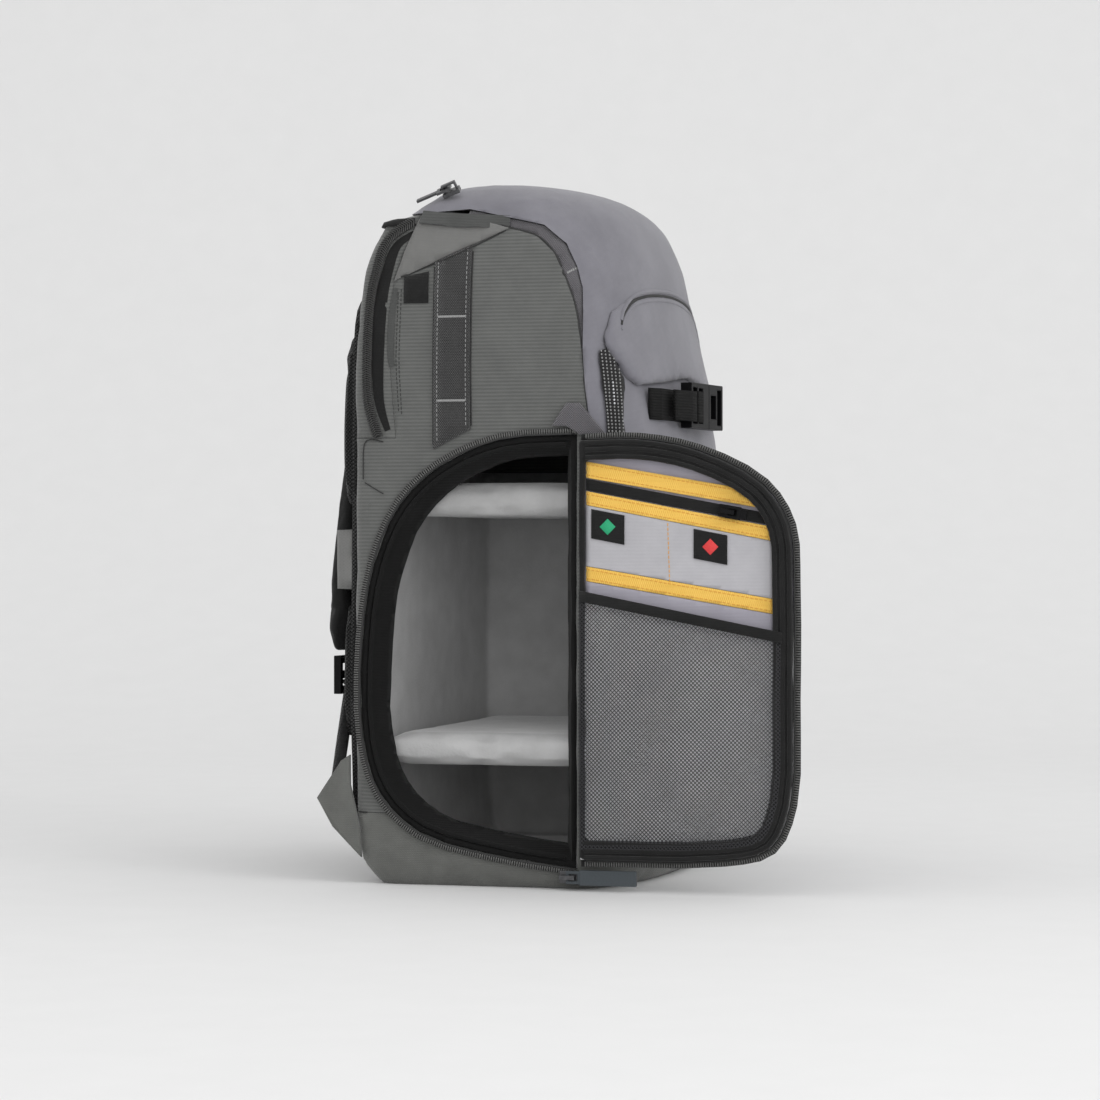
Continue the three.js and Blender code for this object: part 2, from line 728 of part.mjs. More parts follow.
// The zip coil round the opening, on the outside of the side panel.
function openingZip() {
  const x = -WIDTH / 2 - GAP;
  const open = openingOutline(0);
  const wide = openingOutline(DOOR_COIL_WIDTH);
  const ahead = box([-FAR, -FAR, -FAR], [FAR, OPENING_FRONT + OPENING_ZIP_BACK, FAR]);
  const coil = sidePrism(wide, x - COIL_THICK, x).subtract(sidePrism(open, -FAR, FAR));
  return coil.subtract(ahead);
}

// The light lining: a tray inside the core, open towards the door and at the top.
function innerLining() {
  const clear = CORE_WALL + 2 * GAP;
  const front = seamFoot[0] + clear;
  const left = -WIDTH / 2 + GUSSET_DEPTH + GAP;
  const floor = BASE_WALL + GAP;
  const room = box([left, front, floor], [FAR, FAR, LINING_TOP]);
  const outer = form(-clear).intersect(room);
  const space = box([-FAR, front + LINING_WALL, floor + LINING_WALL], [FAR, FAR, FAR]);
  return outer.subtract(form(-clear - LINING_WALL).intersect(space));
}

// A padded shelf that divides the inside at one level.
function divider(level) {
  const clear = CORE_WALL + LINING_WALL + 3 * GAP;
  const left = -WIDTH / 2 + GUSSET_DEPTH + DIVIDER_SET_BACK;
  const slab = box(
    [left, seamFoot[0] + clear, level],
    [FAR, FAR, level + DIVIDER_THICK],
  );
  return form(-clear).intersect(slab);
}

// The outline of the open door in side view, grown by distance.
function doorOutline(distance) {
  const points = DOOR_OUTLINE.map(({ depth, height }) => [
    DOOR_HINGE - depth * DOOR_DEPTH,
    DOOR_BOTTOM + height * DOOR_HEIGHT,
  ]);
  return grow(smooth(points, DOOR_STEPS), distance);
}

const doorBack = -WIDTH / 2 - DOOR_STAND_OFF;
const doorFace = doorBack - DOOR_PANEL_THICK;
const linerFace = doorFace - GAP;
const rimFace = linerFace - DOOR_RIM_THICK;

// The inside of the door's rim in side view, less a distance all round.
function doorInside(distance) {
  const inside = sidePrism(doorOutline(-DOOR_RIM_WIDTH - distance), -FAR, FAR);
  const wide = sidePrism(doorOutline(-DOOR_RIM_HINGE_WIDTH - distance), -FAR, FAR);
  const nearHinge = box(
    [-FAR, DOOR_HINGE - 2 * DOOR_RIM_WIDTH, DOOR_BOTTOM + DOOR_RIM_WIDTH + distance],
    [FAR, FAR, DOOR_BOTTOM + DOOR_HEIGHT - DOOR_RIM_WIDTH - distance],
  );
  return inside.add(wide.intersect(nearHinge));
}

// The door's padded panel, its black rim, its zip coil and the cloth fold that it hangs on.
function doorShell() {
  add("door_panel", "side", sidePrism(doorOutline(0), doorFace, doorBack));
  const slab = sidePrism(doorOutline(0), rimFace, linerFace);
  add("door_rim", "black", slab.subtract(doorInside(0)));
  const wide = doorOutline(DOOR_COIL_WIDTH + GAP);
  const coil = sidePrism(wide, linerFace - COIL_THICK, doorFace + GAP);
  const behind = box([-FAR, DOOR_HINGE - HINGE_CLEAR, -FAR], [FAR, FAR, FAR]);
  const hole = sidePrism(doorOutline(GAP), -FAR, FAR);
  add("door_zip", "black", coil.subtract(hole).subtract(behind));
  const foldBack = DOOR_HINGE + HINGE_FOLD_WIDTH / 2 - HINGE_CLEAR;
  const foldTop = DOOR_BOTTOM + DOOR_HEIGHT - 2 * HINGE_CLEAR;
  const fold = box(
    [doorBack + GAP, DOOR_HINGE - HINGE_FOLD_WIDTH / 2, DOOR_BOTTOM],
    [-WIDTH / 2 - GAP, foldBack, foldTop],
  );
  add("door_hinge_fold", "black", fold);
}

// The short webbing that holds the opening's top corner to the door.
function cornerWebbing() {
  const top = OPENING_BOTTOM + OPENING_HEIGHT;
  const outline = CORNER_WEBBING.map(({ back, up }) => [OPENING_FRONT + back, top + up]);
  const outer = doorBack + GAP;
  return sidePrism(outline, outer, outer + CORNER_WEBBING_THICK);
}

// The height in the door of a slanting level at one place.
function doorLevelAt(level, y) {
  const t = (DOOR_HINGE - y) / DOOR_DEPTH;
  return DOOR_BOTTOM + DOOR_HEIGHT * (level.hinge + (level.outer - level.hinge) * t);
}

// A slanting strip of the door's inside, as { level, shift } above and below, with its face
// towards the viewer at X = face - thick.
function doorStrip(above, below, face, thick, inset) {
  const near = DOOR_HINGE + DOOR_DEPTH;
  const far = DOOR_HINGE - 2 * DOOR_DEPTH;
  const outline = [
    [near, doorLevelAt(above.level, near) + above.shift],
    [far, doorLevelAt(above.level, far) + above.shift],
    [far, doorLevelAt(below.level, far) + below.shift],
    [near, doorLevelAt(below.level, near) + below.shift],
  ];
  return sidePrism(outline, face - thick, face).intersect(doorInside(inset));
}

// A band of one height along a slanting level of the door.
function doorBand(level, height, thick) {
  const half = height / 2;
  return doorStrip({ level, shift: half }, { level, shift: -half }, linerFace, thick, GAP);
}

// The tapes, pockets and labels on the inside of the door.
function doorPockets() {
  const { upperTape, pocketZip, middleTape, lowerTape, meshTop } = DOOR_LEVELS;
  add("tape_upper", "yellow", doorBand(upperTape, TAPE_UPPER_HEIGHT, TAPE_THICK));
  add("tape_middle", "yellow", doorBand(middleTape, TAPE_MIDDLE_HEIGHT, TAPE_THICK));
  add("tape_lower", "yellow", doorBand(lowerTape, TAPE_LOWER_HEIGHT, TAPE_THICK));
  add("pocket_zip_band", "black", doorBand(pocketZip, POCKET_ZIP_HEIGHT - 2 * GAP, TAPE_THICK));
  const underMiddle = { level: middleTape, shift: -TAPE_MIDDLE_HEIGHT / 2 - GAP };
  const overLower = { level: lowerTape, shift: TAPE_LOWER_HEIGHT / 2 + GAP };
  const underLower = { level: lowerTape, shift: -TAPE_LOWER_HEIGHT / 2 - GAP };
  const bindingFoot = { level: meshTop, shift: -MESH_BINDING_HEIGHT };
  const panel = doorStrip(underMiddle, overLower, linerFace, POCKET_PANEL_THICK, GAP);
  add("pocket_panel", "door", panel);
  const lining = doorStrip(underLower, bindingFoot, linerFace, POCKET_PANEL_THICK, GAP);
  add("lower_flap_lining", "door", lining);
  tag("tag_green", "green", DOOR_HINGE - GREEN_TAG_AHEAD);
  tag("tag_red", "red", DOOR_HINGE - RED_TAG_AHEAD);
  const ahead = box([-FAR, -FAR, -FAR], [FAR, DOOR_HINGE - HINGE_CLEAR, FAR]);
  const face = rimFace - GAP;
  const onRim = -DOOR_RIM_WIDTH / 2;
  const netTop = { level: meshTop, shift: -MESH_BINDING_HEIGHT - GAP };
  const netFoot = { level: meshTop, shift: -FAR };
  const net = doorStrip(netTop, netFoot, face, MESH_THICK, onRim);
  add("mesh_pocket", "mesh", net.intersect(ahead));
  const binding = doorStrip({ level: meshTop, shift: 0 }, bindingFoot, face, MESH_BINDING_THICK, onRim);
  add("mesh_binding", "black", binding.intersect(ahead));
}

// A small coloured label that hangs from the middle tape.
function tag(name, finish, y) {
  const { middleTape } = DOOR_LEVELS;
  const half = TAG_WIDTH / 2;
  const x = linerFace - POCKET_PANEL_THICK - GAP;
  const middle = doorLevelAt(middleTape, y);
  const slope = doorLevelAt(middleTape, y - half) - middle;
  const top = middle - TAPE_MIDDLE_HEIGHT / 2 - TAG_BELOW_TAPE;
  const outline = [
    [y + half, top - slope],
    [y - half, top + slope],
    [y - half, top + slope - TAG_HEIGHT],
    [y + half, top - slope - TAG_HEIGHT],
  ];
  add(name, finish, sidePrism(outline, x - TAG_THICK, x));
}

// The ribbed strips on the front panel, close to its side seams.
function frontStrips() {
  const line = smooth(FRONT_STRIP.map(sidePoint), 2);
  const inner = HOOD_PROUD + GAP;
  const band = sidePrism(bandOutline(line, FRONT_STRIP_WIDTH / 2), -FAR, FAR);
  const pocket = frontPrism(grow(pocketOutline(), GAP), -FAR, FAR);
  const both = layer(inner, inner + WEBBING_THICK).intersect(band).subtract(pocket);
  add("front_strip_left", "strip", both.intersect(LEFT_HALF()));
  add("front_strip_right", "strip", both.intersect(RIGHT_HALF()));
}

// The whole outline of the front pocket in front view.
function pocketOutline() {
  const half = FRONT_POCKET.map(({ width, height }) => [(width * WIDTH) / 2, height * HEIGHT]);
  const mirrored = half.slice(1, -1).map(([x, z]) => [-x, z]);
  return half.concat(mirrored.reverse()).reverse();
}

// The front pocket: a shield-shaped shell that stands proud, open towards the bag.
function frontPocket() {
  const outline = pocketOutline();
  const levels = FRONT_POCKET.map((row) => row.height * HEIGHT);
  const top = Math.max(...levels);
  const foot = Math.min(...levels);
  const proud = (wall) => (z) => {
    const t = Math.min(Math.max((z - foot) / (top - foot), 0), 1);
    return POCKET_PROUD_BOTTOM + (POCKET_PROUD_TOP - POCKET_PROUD_BOTTOM) * t - wall;
  };
  const whole = frontPrism(outline, -FAR, seamFoot[0]);
  const outer = form(proud(0)).subtract(form(HOOD_PROUD + GAP)).intersect(whole);
  const hollow = frontPrism(grow(outline, -POCKET_WALL), -FAR, FAR);
  return outer.subtract(form(proud(POCKET_WALL)).intersect(hollow));
}

// Webbing along a line in plan view, standing on edge between two heights.
function webbing(line, low, high) {
  return planPrism(bandOutline(line, WEBBING_THICK / 2).reverse(), low, high);
}

// Places a solid of the buckle's own frame on the front of the bag.
function atBuckle(solid) {
  return solid
    .rotate([0, 0, THREE.MathUtils.radToDeg(BUCKLE_TURN)])
    .translate([BUCKLE_CENTRE_X, BUCKLE_CENTRE_Y, BUCKLE_LEVEL]);
}

// The fastened buckle, its strap and the strap's loose tail.
function frontStrap() {
  const half = BUCKLE_THICK / 2;
  const tall = BUCKLE_HEIGHT / 2;
  const slot = BUCKLE_HEIGHT / 2 - BUCKLE_BAR;
  const barGap = (PLUG_LENGTH - BUCKLE_FRAME - 2 * BUCKLE_BAR) / 3;
  let plug = box([-PLUG_LENGTH, -half, -tall], [-GAP / 2, half, tall]);
  const firstSlot = -PLUG_LENGTH + BUCKLE_BAR;
  const secondSlot = firstSlot + barGap + BUCKLE_BAR;
  for (const start of [firstSlot, secondSlot]) {
    plug = plug.subtract(box([start, -FAR, -slot], [start + barGap, FAR, slot]));
  }
  add("buckle_plug", "plastic", atBuckle(plug));
  const body = box([GAP / 2, -half, -tall], [SOCKET_LENGTH, half, tall]);
  const windowLow = [BUCKLE_FRAME, -FAR, -slot + BUCKLE_FRAME];
  const window = box(windowLow, [SOCKET_LENGTH / 2, 0, slot - BUCKLE_FRAME]);
  const rearSlot = SOCKET_LENGTH - BUCKLE_BAR;
  const rear = box([rearSlot - barGap, -FAR, -slot], [rearSlot, FAR, slot]);
  add("buckle_socket", "plastic", atBuckle(body.subtract(window).subtract(rear)));

  const turn = (x, y) => [
    BUCKLE_CENTRE_X + x * Math.cos(BUCKLE_TURN) - y * Math.sin(BUCKLE_TURN),
    BUCKLE_CENTRE_Y + x * Math.sin(BUCKLE_TURN) + y * Math.cos(BUCKLE_TURN),
  ];
  const thin = WEBBING_THICK / 2 + GAP;
  const middle = firstSlot + barGap / 2;
  const beyond = secondSlot + barGap / 2;
  const rise = half + thin;
  const low = STRAP_BOTTOM;
  const high = STRAP_BOTTOM + STRAP_WIDTH;
  const left = [
    frontPoint(-STRAP_SEWN_SHARE, low, HOOD_PROUD + thin),
    frontPoint(-STRAP_LIFT_SHARE.left, low, HOOD_PROUD + half),
    turn(-PLUG_LENGTH - STRAP_LEAD, rise),
    turn(middle - thin, rise),
    turn(middle + thin, -rise),
    turn(beyond - thin, -rise),
    turn(beyond, 0),
  ];
  add("front_strap_left", "webbing", webbing(left, low, high));
  const farSlot = rearSlot - barGap / 2;
  const right = [
    turn(farSlot, -thin),
    turn(farSlot + thin, rise),
    turn(SOCKET_LENGTH + STRAP_LEAD, rise),
    frontPoint(STRAP_LIFT_SHARE.right, low, HOOD_PROUD + half),
    frontPoint(STRAP_SEWN_SHARE, low, HOOD_PROUD + thin),
  ];
  add("front_strap_right", "webbing", webbing(right.reverse(), low, high));
  const tail = [
    turn(-PLUG_LENGTH - TAIL_LENGTH, -rise / 2 + thin),
    turn(-PLUG_LENGTH - STRAP_LEAD, -rise),
    turn(firstSlot + thin, -rise),
  ];
  add("strap_tail", "webbing", webbing(tail, low + GAP, high - GAP));
}

// A plan view point on the curved front: across is a share of half the width.
function frontPoint(across, z, offset) {
  const seam = -sectionAt("seam", z) * FRONT_DEPTH;
  const reach = sectionAt("front", z) * FRONT_DEPTH + seam;
  const half = (sectionAt("width", z) * WIDTH) / 2;
  return [across * half, seam - reach * Math.sqrt(1 - across * across) - offset];
}

// A front view rectangle with rounded corners.
function roundedOutline(width, low, high, radius) {
  const outline = [];
  const corners = [
    [width / 2 - radius, low + radius, -Math.PI / 2],
    [width / 2 - radius, high - radius, 0],
    [-width / 2 + radius, high - radius, Math.PI / 2],
    [-width / 2 + radius, low + radius, Math.PI],
  ];
  for (const [x, z, start] of corners) {
    for (let i = 0; i <= CORNER_STEPS; i += 1) {
      const angle = start + (i / CORNER_STEPS) * (Math.PI / 2);
      outline.push([x + radius * Math.cos(angle), z + radius * Math.sin(angle)]);
    }
  }
  return outline;
}

// The back panel, the two pads on it and the band that slips over a luggage handle.
function backPieces() {
  const onBack = (outline, low, high) => layer(low, high).intersect(frontPrism(outline, 0, FAR));
  const panelTop = GAP + BACK_PANEL_THICK;
  const panel = roundedOutline(BACK_PANEL_WIDTH, BACK_PANEL_BOTTOM, BACK_PANEL_TOP, PAD_CORNER);
  add("back_panel", "black", onBack(panel, GAP, panelTop));
  const seat = panelTop + GAP;
  const upper = roundedOutline(PAD_WIDTH, UPPER_PAD_BOTTOM, UPPER_PAD_TOP, PAD_CORNER);
  add("back_pad_upper", "black", onBack(upper, seat, seat + UPPER_PAD_THICK));
  const lower = roundedOutline(PAD_WIDTH, LOWER_PAD_BOTTOM, LOWER_PAD_TOP, PAD_CORNER);
  add("back_pad_lower", "black", onBack(lower, seat, seat + LOWER_PAD_THICK));

  const foot = WEBBING_THICK / 2 + GAP;
  const back = backAt(LUGGAGE_BAND_BOTTOM + LUGGAGE_BAND_HEIGHT / 2);
  const end = LUGGAGE_BAND_WIDTH / 2 - CORNER_RADIUS;
  const bend = BACK_PANEL_WIDTH / 2 - CORNER_RADIUS;
  const line = [
    [-end, back + foot + LUGGAGE_BAND_FOOT],
    [-bend, back + LUGGAGE_BAND_PROUD],
    [bend, back + LUGGAGE_BAND_PROUD],
    [end, back + foot + LUGGAGE_BAND_FOOT],
  ];
  const top = LUGGAGE_BAND_BOTTOM + LUGGAGE_BAND_HEIGHT;
  const band = webbing(line, LUGGAGE_BAND_BOTTOM, top).subtract(form(GAP));
  add("luggage_band", "webbing", band.subtract(onBack(panel, 0, panelTop + GAP)));
}

// The webbing handle over the top of the rear compartment.
function grabHandle() {
  const across = (low, high) => box([low, 0, HANDLE_BOTTOM], [high, FAR, HANDLE_BOTTOM + HANDLE_WIDTH]);
  const end = HANDLE_LENGTH / 2;
  const span = end - HANDLE_FOOT;
  const thick = WEBBING_THICK;
  const foot = layer(GAP, GAP + thick);
  const grip = layer(HANDLE_PROUD, HANDLE_PROUD + thick).intersect(across(-span, span));
  let handle = grip;
  for (const side of [-1, 1]) {
    const inner = side * (span - thick);
    const flat = across(Math.min(side * end, inner), Math.max(side * end, inner));
    const riser = across(Math.min(side * span, inner), Math.max(side * span, inner));
    handle = handle.add(foot.intersect(flat)).add(layer(GAP, HANDLE_PROUD + thick).intersect(riser));
  }
  return handle;
}

// One shoulder strap with its lower webbing, ladder lock and anchoring wing.
function harnessSide(side, name) {
  const rings = SHOULDER_STRAP.map((row) => {
    const z = row.along * HEIGHT;
    const x = side * row.across * WIDTH;
    const half = row.half * STRAP_HALF_WIDTH;
    const low = backAt(z) + row.stand_off;
    const high = low + row.thick * STRAP_PAD_THICK;
    return [
      [x - half, low, z],
      [x + half, low, z],
      [x + half, high - STRAP_BEVEL, z],
      [x + half - STRAP_BEVEL, high, z],
      [x - half + STRAP_BEVEL, high, z],
      [x - half, high - STRAP_BEVEL, z],
    ];
  });
  add(`shoulder_strap_${name}`, "black", loft(rings.reverse()));

  const end = SHOULDER_STRAP[SHOULDER_STRAP.length - 1];
  const lockTop = end.along * HEIGHT - GAP;
  const lockX = side * end.across * WIDTH;
  const lockY = backAt(lockTop) + end.stand_off;
  const slot = LOCK_HEIGHT / LOCK_BARS;
  const slotHalf = STRAP_WIDTH / 2 + CUT_PAST;
  let lock = box([-LOCK_WIDTH / 2, 0, -LOCK_HEIGHT], [LOCK_WIDTH / 2, LOCK_THICK, 0]);
  for (let bar = 2; bar < LOCK_BARS; bar += 2) {
    lock = lock.subtract(box([-slotHalf, -FAR, -slot * bar], [slotHalf, FAR, -slot * (bar - 1)]));
  }
  add(`ladder_lock_${name}`, "plastic", lock.translate([lockX, lockY, lockTop]));

  const tip = WING_OUTLINE.reduce((far, row) => (row.back > far.back ? row : far));
  const anchorX = side * (WIDTH / 2 - WING_THICK - GAP - STRAP_WIDTH / 2);
  const anchorY = BACK_DEPTH + tip.back * ANCHOR_SHARE;
  const behind = lockY - WEBBING_THICK / 2 - 2 * GAP;
  const threaded = lockTop - slot * (LOCK_BARS - 1.5);
  const run = [
    [lockX, lockY + LOCK_THICK / 2, threaded + slot * THREAD_SLANT],
    [lockX, behind, threaded - slot * THREAD_SLANT],
    [lockX + side * ADJUSTER_DRIFT, behind, lockTop - LOCK_HEIGHT],
    [anchorX, anchorY, tip.height + ANCHOR_RISE],
  ];
  const half = STRAP_WIDTH / 2;
  const thin = WEBBING_THICK / 2;
  const strapRings = run.map(([x, y, z]) => [
    [x - half, y - thin, z],
    [x + half, y - thin, z],
    [x + half, y + thin, z],
    [x - half, y + thin, z],
  ]);
  add(`adjuster_strap_${name}`, "webbing", loft(strapRings.reverse()));

  const wing = WING_OUTLINE.map(({ back, height }) => [BACK_DEPTH + back, height]);
  const inside = WIDTH / 2 - WING_THICK;
  const [low, high] = side < 0 ? [-WIDTH / 2, -inside] : [inside, WIDTH / 2];
  const plate = sidePrism(wing.reverse(), low, high);
  add(`strap_wing_${name}`, "base", plate.subtract(form(GAP)));
}

// A zip slider in its own frame: it travels along X, Z is up and the hinge is at the origin.
function sliderSolid() {
  const half = SLIDER_LENGTH / 2;
  const base = box(
    [-half, -SLIDER_WIDTH / 2, -HINGE_HEIGHT - SLIDER_BASE],
    [half, SLIDER_WIDTH / 2, -HINGE_HEIGHT],
  );
  const bridge = box(
    [-BRIDGE_REACH, -BRIDGE_WIDTH / 2, -HINGE_HEIGHT - CUT_PAST],
    [BRIDGE_REACH, BRIDGE_WIDTH / 2, BRIDGE_ROOM + BRIDGE_BAR],
  );
  const reach = BRIDGE_REACH - BRIDGE_BAR;
  const hollow = box([-reach, -FAR, -HINGE_HEIGHT], [reach, FAR, BRIDGE_ROOM]);
  return base.add(bridge.subtract(hollow));
}

// A zip pull that lies along +X from its hinge at the origin and ends in a flat tab.
function pullSolid({ length, width, thick }) {
  const half = PULL_WIDTH / 2;
  const bar = PULL_BAR / 2;
  const head = PULL_WINDOW + PULL_HEAD;
  const frame = box([-bar, -half, -bar], [head, half, bar]);
  const window = box([bar, -half + PULL_ARM, -FAR], [PULL_WINDOW, half - PULL_ARM, FAR]);
  const tab = box([head - CUT_PAST, -width / 2, -thick / 2], [head + length, width / 2, thick / 2]);
  return frame.subtract(window).add(tab);
}

// Places a solid so that its X runs along one direction and its Z along another.
function placed(solid, at, along, up) {
  const x = new THREE.Vector3(...along).normalize();
  const z = new THREE.Vector3(...up).normalize();
  const y = z.clone().cross(x);
  const matrix = new THREE.Matrix4().makeBasis(x, y, z).setPosition(...at);
  return solid.transform(matrix.toArray());
}

// The three zips that carry a slider with a free pull.
function zipPulls() {
  const seat = HINGE_HEIGHT + SLIDER_BASE + GAP;
  const { width, depth, height } = TOP_PULL_PLACE;
  const up = new THREE.Vector3(...TOP_PULL_UP).normalize();
  const corner = new THREE.Vector3(-width * WIDTH, depth * BACK_DEPTH, height * HEIGHT);
  const topAt = corner.addScaledVector(up, seat + TOP_SLIDER_LIFT).toArray();
  add("top_slider", "metal", placed(sliderSolid(), topAt, TOP_PULL_ALONG, TOP_PULL_UP));
  add("top_pull", "metal", placed(pullSolid(PULL_TABS.top), topAt, TOP_PULL_ALONG, TOP_PULL_UP));

  const outwards = [-1, 0, 0];
  const forwards = [0, -1, 0];
  const doorX = -WIDTH / 2 - GAP - COIL_THICK - seat;
  const doorAt = [doorX, OPENING_FRONT + DOOR_PULL_BACK, DOOR_PULL_LEVEL];
  add("door_slider", "metal", placed(sliderSolid(), doorAt, forwards, outwards));
  add("door_pull", "rubber", placed(pullSolid(PULL_TABS.door), doorAt, forwards, outwards));

  const { pocketZip } = DOOR_LEVELS;
  const y = DOOR_HINGE - POCKET_SLIDER_SHARE * DOOR_DEPTH;
  const z = doorLevelAt(pocketZip, y);
  const pocketAt = [linerFace - TAPE_THICK - seat, y, z];
  const along = [0, -1, doorLevelAt(pocketZip, y - 1) - z];
  add("pocket_slider", "plastic", placed(sliderSolid(), pocketAt, along, outwards));
  add("pocket_pull", "plastic", placed(pullSolid(PULL_TABS.pocket), pocketAt, along, outwards));
}

add("main_body", "side", mainBody());
add("base_panel", "base", basePanel());
add("hood_front_panel", "hood", hoodFrontPanel());
zipGarages();
add("rear_compartment", "side", rearCompartment());
add("rear_zip", "black", rearZip());
cornerPatches();
sideWebbings();
sideLabel();
add("opening_gusset", "black", openingGusset());
add("opening_zip", "black", openingZip());
add("inner_lining", "lining", innerLining());
add("divider_upper", "lining", divider(UPPER_DIVIDER_LEVEL));
add("divider_lower", "lining", divider(LOWER_DIVIDER_LEVEL));
doorShell();
add("corner_webbing", "strip", cornerWebbing());
doorPockets();
frontStrips();
add("front_pocket", "hood", frontPocket());
frontStrap();
backPieces();
add("grab_handle", "webbing", grabHandle());
harnessSide(-1, "left");
harnessSide(1, "right");
zipPulls();

export default bag;
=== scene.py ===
# %% [markdown]
# A camera backpack stands upright with its side door swung open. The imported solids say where
# every piece is and how big it is. Each soft piece is made again here as cloth: cut finer,
# swelled between its seams and puckered along them. Hard pieces keep their solids and get
# rounded edges and a finish.

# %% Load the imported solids
import math

import bpy
import numpy as np
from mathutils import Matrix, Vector, kdtree, noise
from mathutils.bvhtree import BVHTree


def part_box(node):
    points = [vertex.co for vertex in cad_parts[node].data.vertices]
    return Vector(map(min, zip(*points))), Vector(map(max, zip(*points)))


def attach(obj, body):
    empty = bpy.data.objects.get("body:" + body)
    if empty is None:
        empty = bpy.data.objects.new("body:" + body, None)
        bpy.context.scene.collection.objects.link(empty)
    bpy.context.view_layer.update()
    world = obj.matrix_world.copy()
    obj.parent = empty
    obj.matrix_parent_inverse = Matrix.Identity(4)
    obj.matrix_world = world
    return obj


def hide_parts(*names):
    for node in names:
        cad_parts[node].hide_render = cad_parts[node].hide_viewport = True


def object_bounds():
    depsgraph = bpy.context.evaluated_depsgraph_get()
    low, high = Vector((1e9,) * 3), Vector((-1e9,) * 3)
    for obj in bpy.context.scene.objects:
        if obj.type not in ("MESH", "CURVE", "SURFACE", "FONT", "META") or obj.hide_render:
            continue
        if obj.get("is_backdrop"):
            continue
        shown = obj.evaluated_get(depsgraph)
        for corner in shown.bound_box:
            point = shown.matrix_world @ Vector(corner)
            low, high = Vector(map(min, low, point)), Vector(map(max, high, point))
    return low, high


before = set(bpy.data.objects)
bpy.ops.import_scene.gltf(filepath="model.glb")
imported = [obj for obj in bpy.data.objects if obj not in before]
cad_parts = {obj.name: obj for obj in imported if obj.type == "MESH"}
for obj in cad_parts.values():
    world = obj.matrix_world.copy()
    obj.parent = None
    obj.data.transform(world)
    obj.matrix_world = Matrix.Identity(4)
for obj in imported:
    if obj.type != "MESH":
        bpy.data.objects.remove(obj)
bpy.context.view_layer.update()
MM = 0.001
print("solids:", len(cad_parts))

# %% [markdown]
# The photograph looks level at the bag from 75 degrees round to its door side, from far away.
# The camera stands at that angle, 2.3 m from the bag's upright axis.

# %% Camera
CAMERA_TURN = math.radians(-75)
CAMERA_DISTANCE = 2.3
CAMERA_HEIGHT = 0.2224
SENSOR_WIDTH = 36.0
LENS = 3274 / 1100 * SENSOR_WIDTH

look = Vector((-math.sin(CAMERA_TURN), math.cos(CAMERA_TURN), 0))
camera_data = bpy.data.cameras.new("camera")
camera_data.sensor_width = SENSOR_WIDTH
camera_data.lens = LENS
camera_data.clip_start = 0.05
camera = bpy.data.objects.new("camera", camera_data)
camera.location = -look * CAMERA_DISTANCE + Vector((0, 0, CAMERA_HEIGHT))
camera.rotation_euler = look.to_track_quat("-Z", "Y").to_euler()
bpy.context.scene.collection.objects.link(camera)
bpy.context.scene.camera = camera
bpy.context.scene.view_settings.view_transform = "Standard"
print("camera at", tuple(round(v, 3) for v in camera.location))

# %% [markdown]
# Operators act on whatever is selected, so everything is deselected before one object is
# picked. Finished pieces sit at the origin with their place in their mesh, as the solids do.


# %% Picking and finishing helpers
def pick(obj):
    """Selects one object alone, in object mode."""
    if bpy.context.object and bpy.context.object.mode != "OBJECT":
        bpy.ops.object.mode_set(mode="OBJECT")
    bpy.ops.object.select_all(action="DESELECT")
    bpy.context.view_layer.objects.active = obj
    obj.select_set(True)


def new_piece(name, mesh):
    """Puts a mesh in the scene as an object at the origin."""
    obj = bpy.data.objects.new(name, mesh)
    bpy.context.scene.collection.objects.link(obj)
    return obj


def apply_place(obj):
    """Moves an object's place, turn and scale into its mesh."""
    pick(obj)
    bpy.ops.object.transform_apply(location=True, rotation=True, scale=True)


def smooth_shade(obj, degrees=40):
    """Shades a piece smooth, apart from its sharp edges."""
    pick(obj)
    bpy.ops.object.shade_smooth_by_angle(angle=math.radians(degrees))


def finish_piece(obj, material, nodes=(), body="bag"):
    """Gives a piece its material and body, and hides the solids it stands for."""
    obj.data.materials.clear()
    obj.data.materials.append(material)
    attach(obj, body)
    if nodes:
        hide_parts(*nodes)
    return obj


def apply_modifier(obj, kind, **settings):
    """Adds a modifier with its settings and applies it."""
    pick(obj)
    modifier = obj.modifiers.new(kind.lower(), kind)
    for name, value in settings.items():
        setattr(modifier, name, value)
    bpy.ops.object.modifier_apply(modifier=modifier.name)


# %% [markdown]
# Every finish is drawn with nodes on Object coordinates, which are millimetres in the bag's own
# frame after one scaling. Woven cloth is two sets of threads that cross: one set counts round
# the bag, along |X| + Y, and the other counts up it, along Z.


# %% Colour and node helpers
def linear(code):
    """An sRGB hex colour as the linear one that a shader needs."""
    shares = [int(code[i : i + 2], 16) / 255 for i in (1, 3, 5)]
    return (*[s / 12.92 if s <= 0.04045 else ((s + 0.055) / 1.055) ** 2.4 for s in shares], 1)


def add_node(material, kind, inputs=None, **settings):
    """Adds a node, sets it and links what feeds it."""
    tree = material.node_tree
    made = tree.nodes.new(kind)
    for name, value in settings.items():
        setattr(made, name, value)
    for socket, value in (inputs or {}).items():
        if isinstance(value, bpy.types.NodeSocket):
            tree.links.new(value, made.inputs[socket])
        else:
            made.inputs[socket].default_value = value
    return made


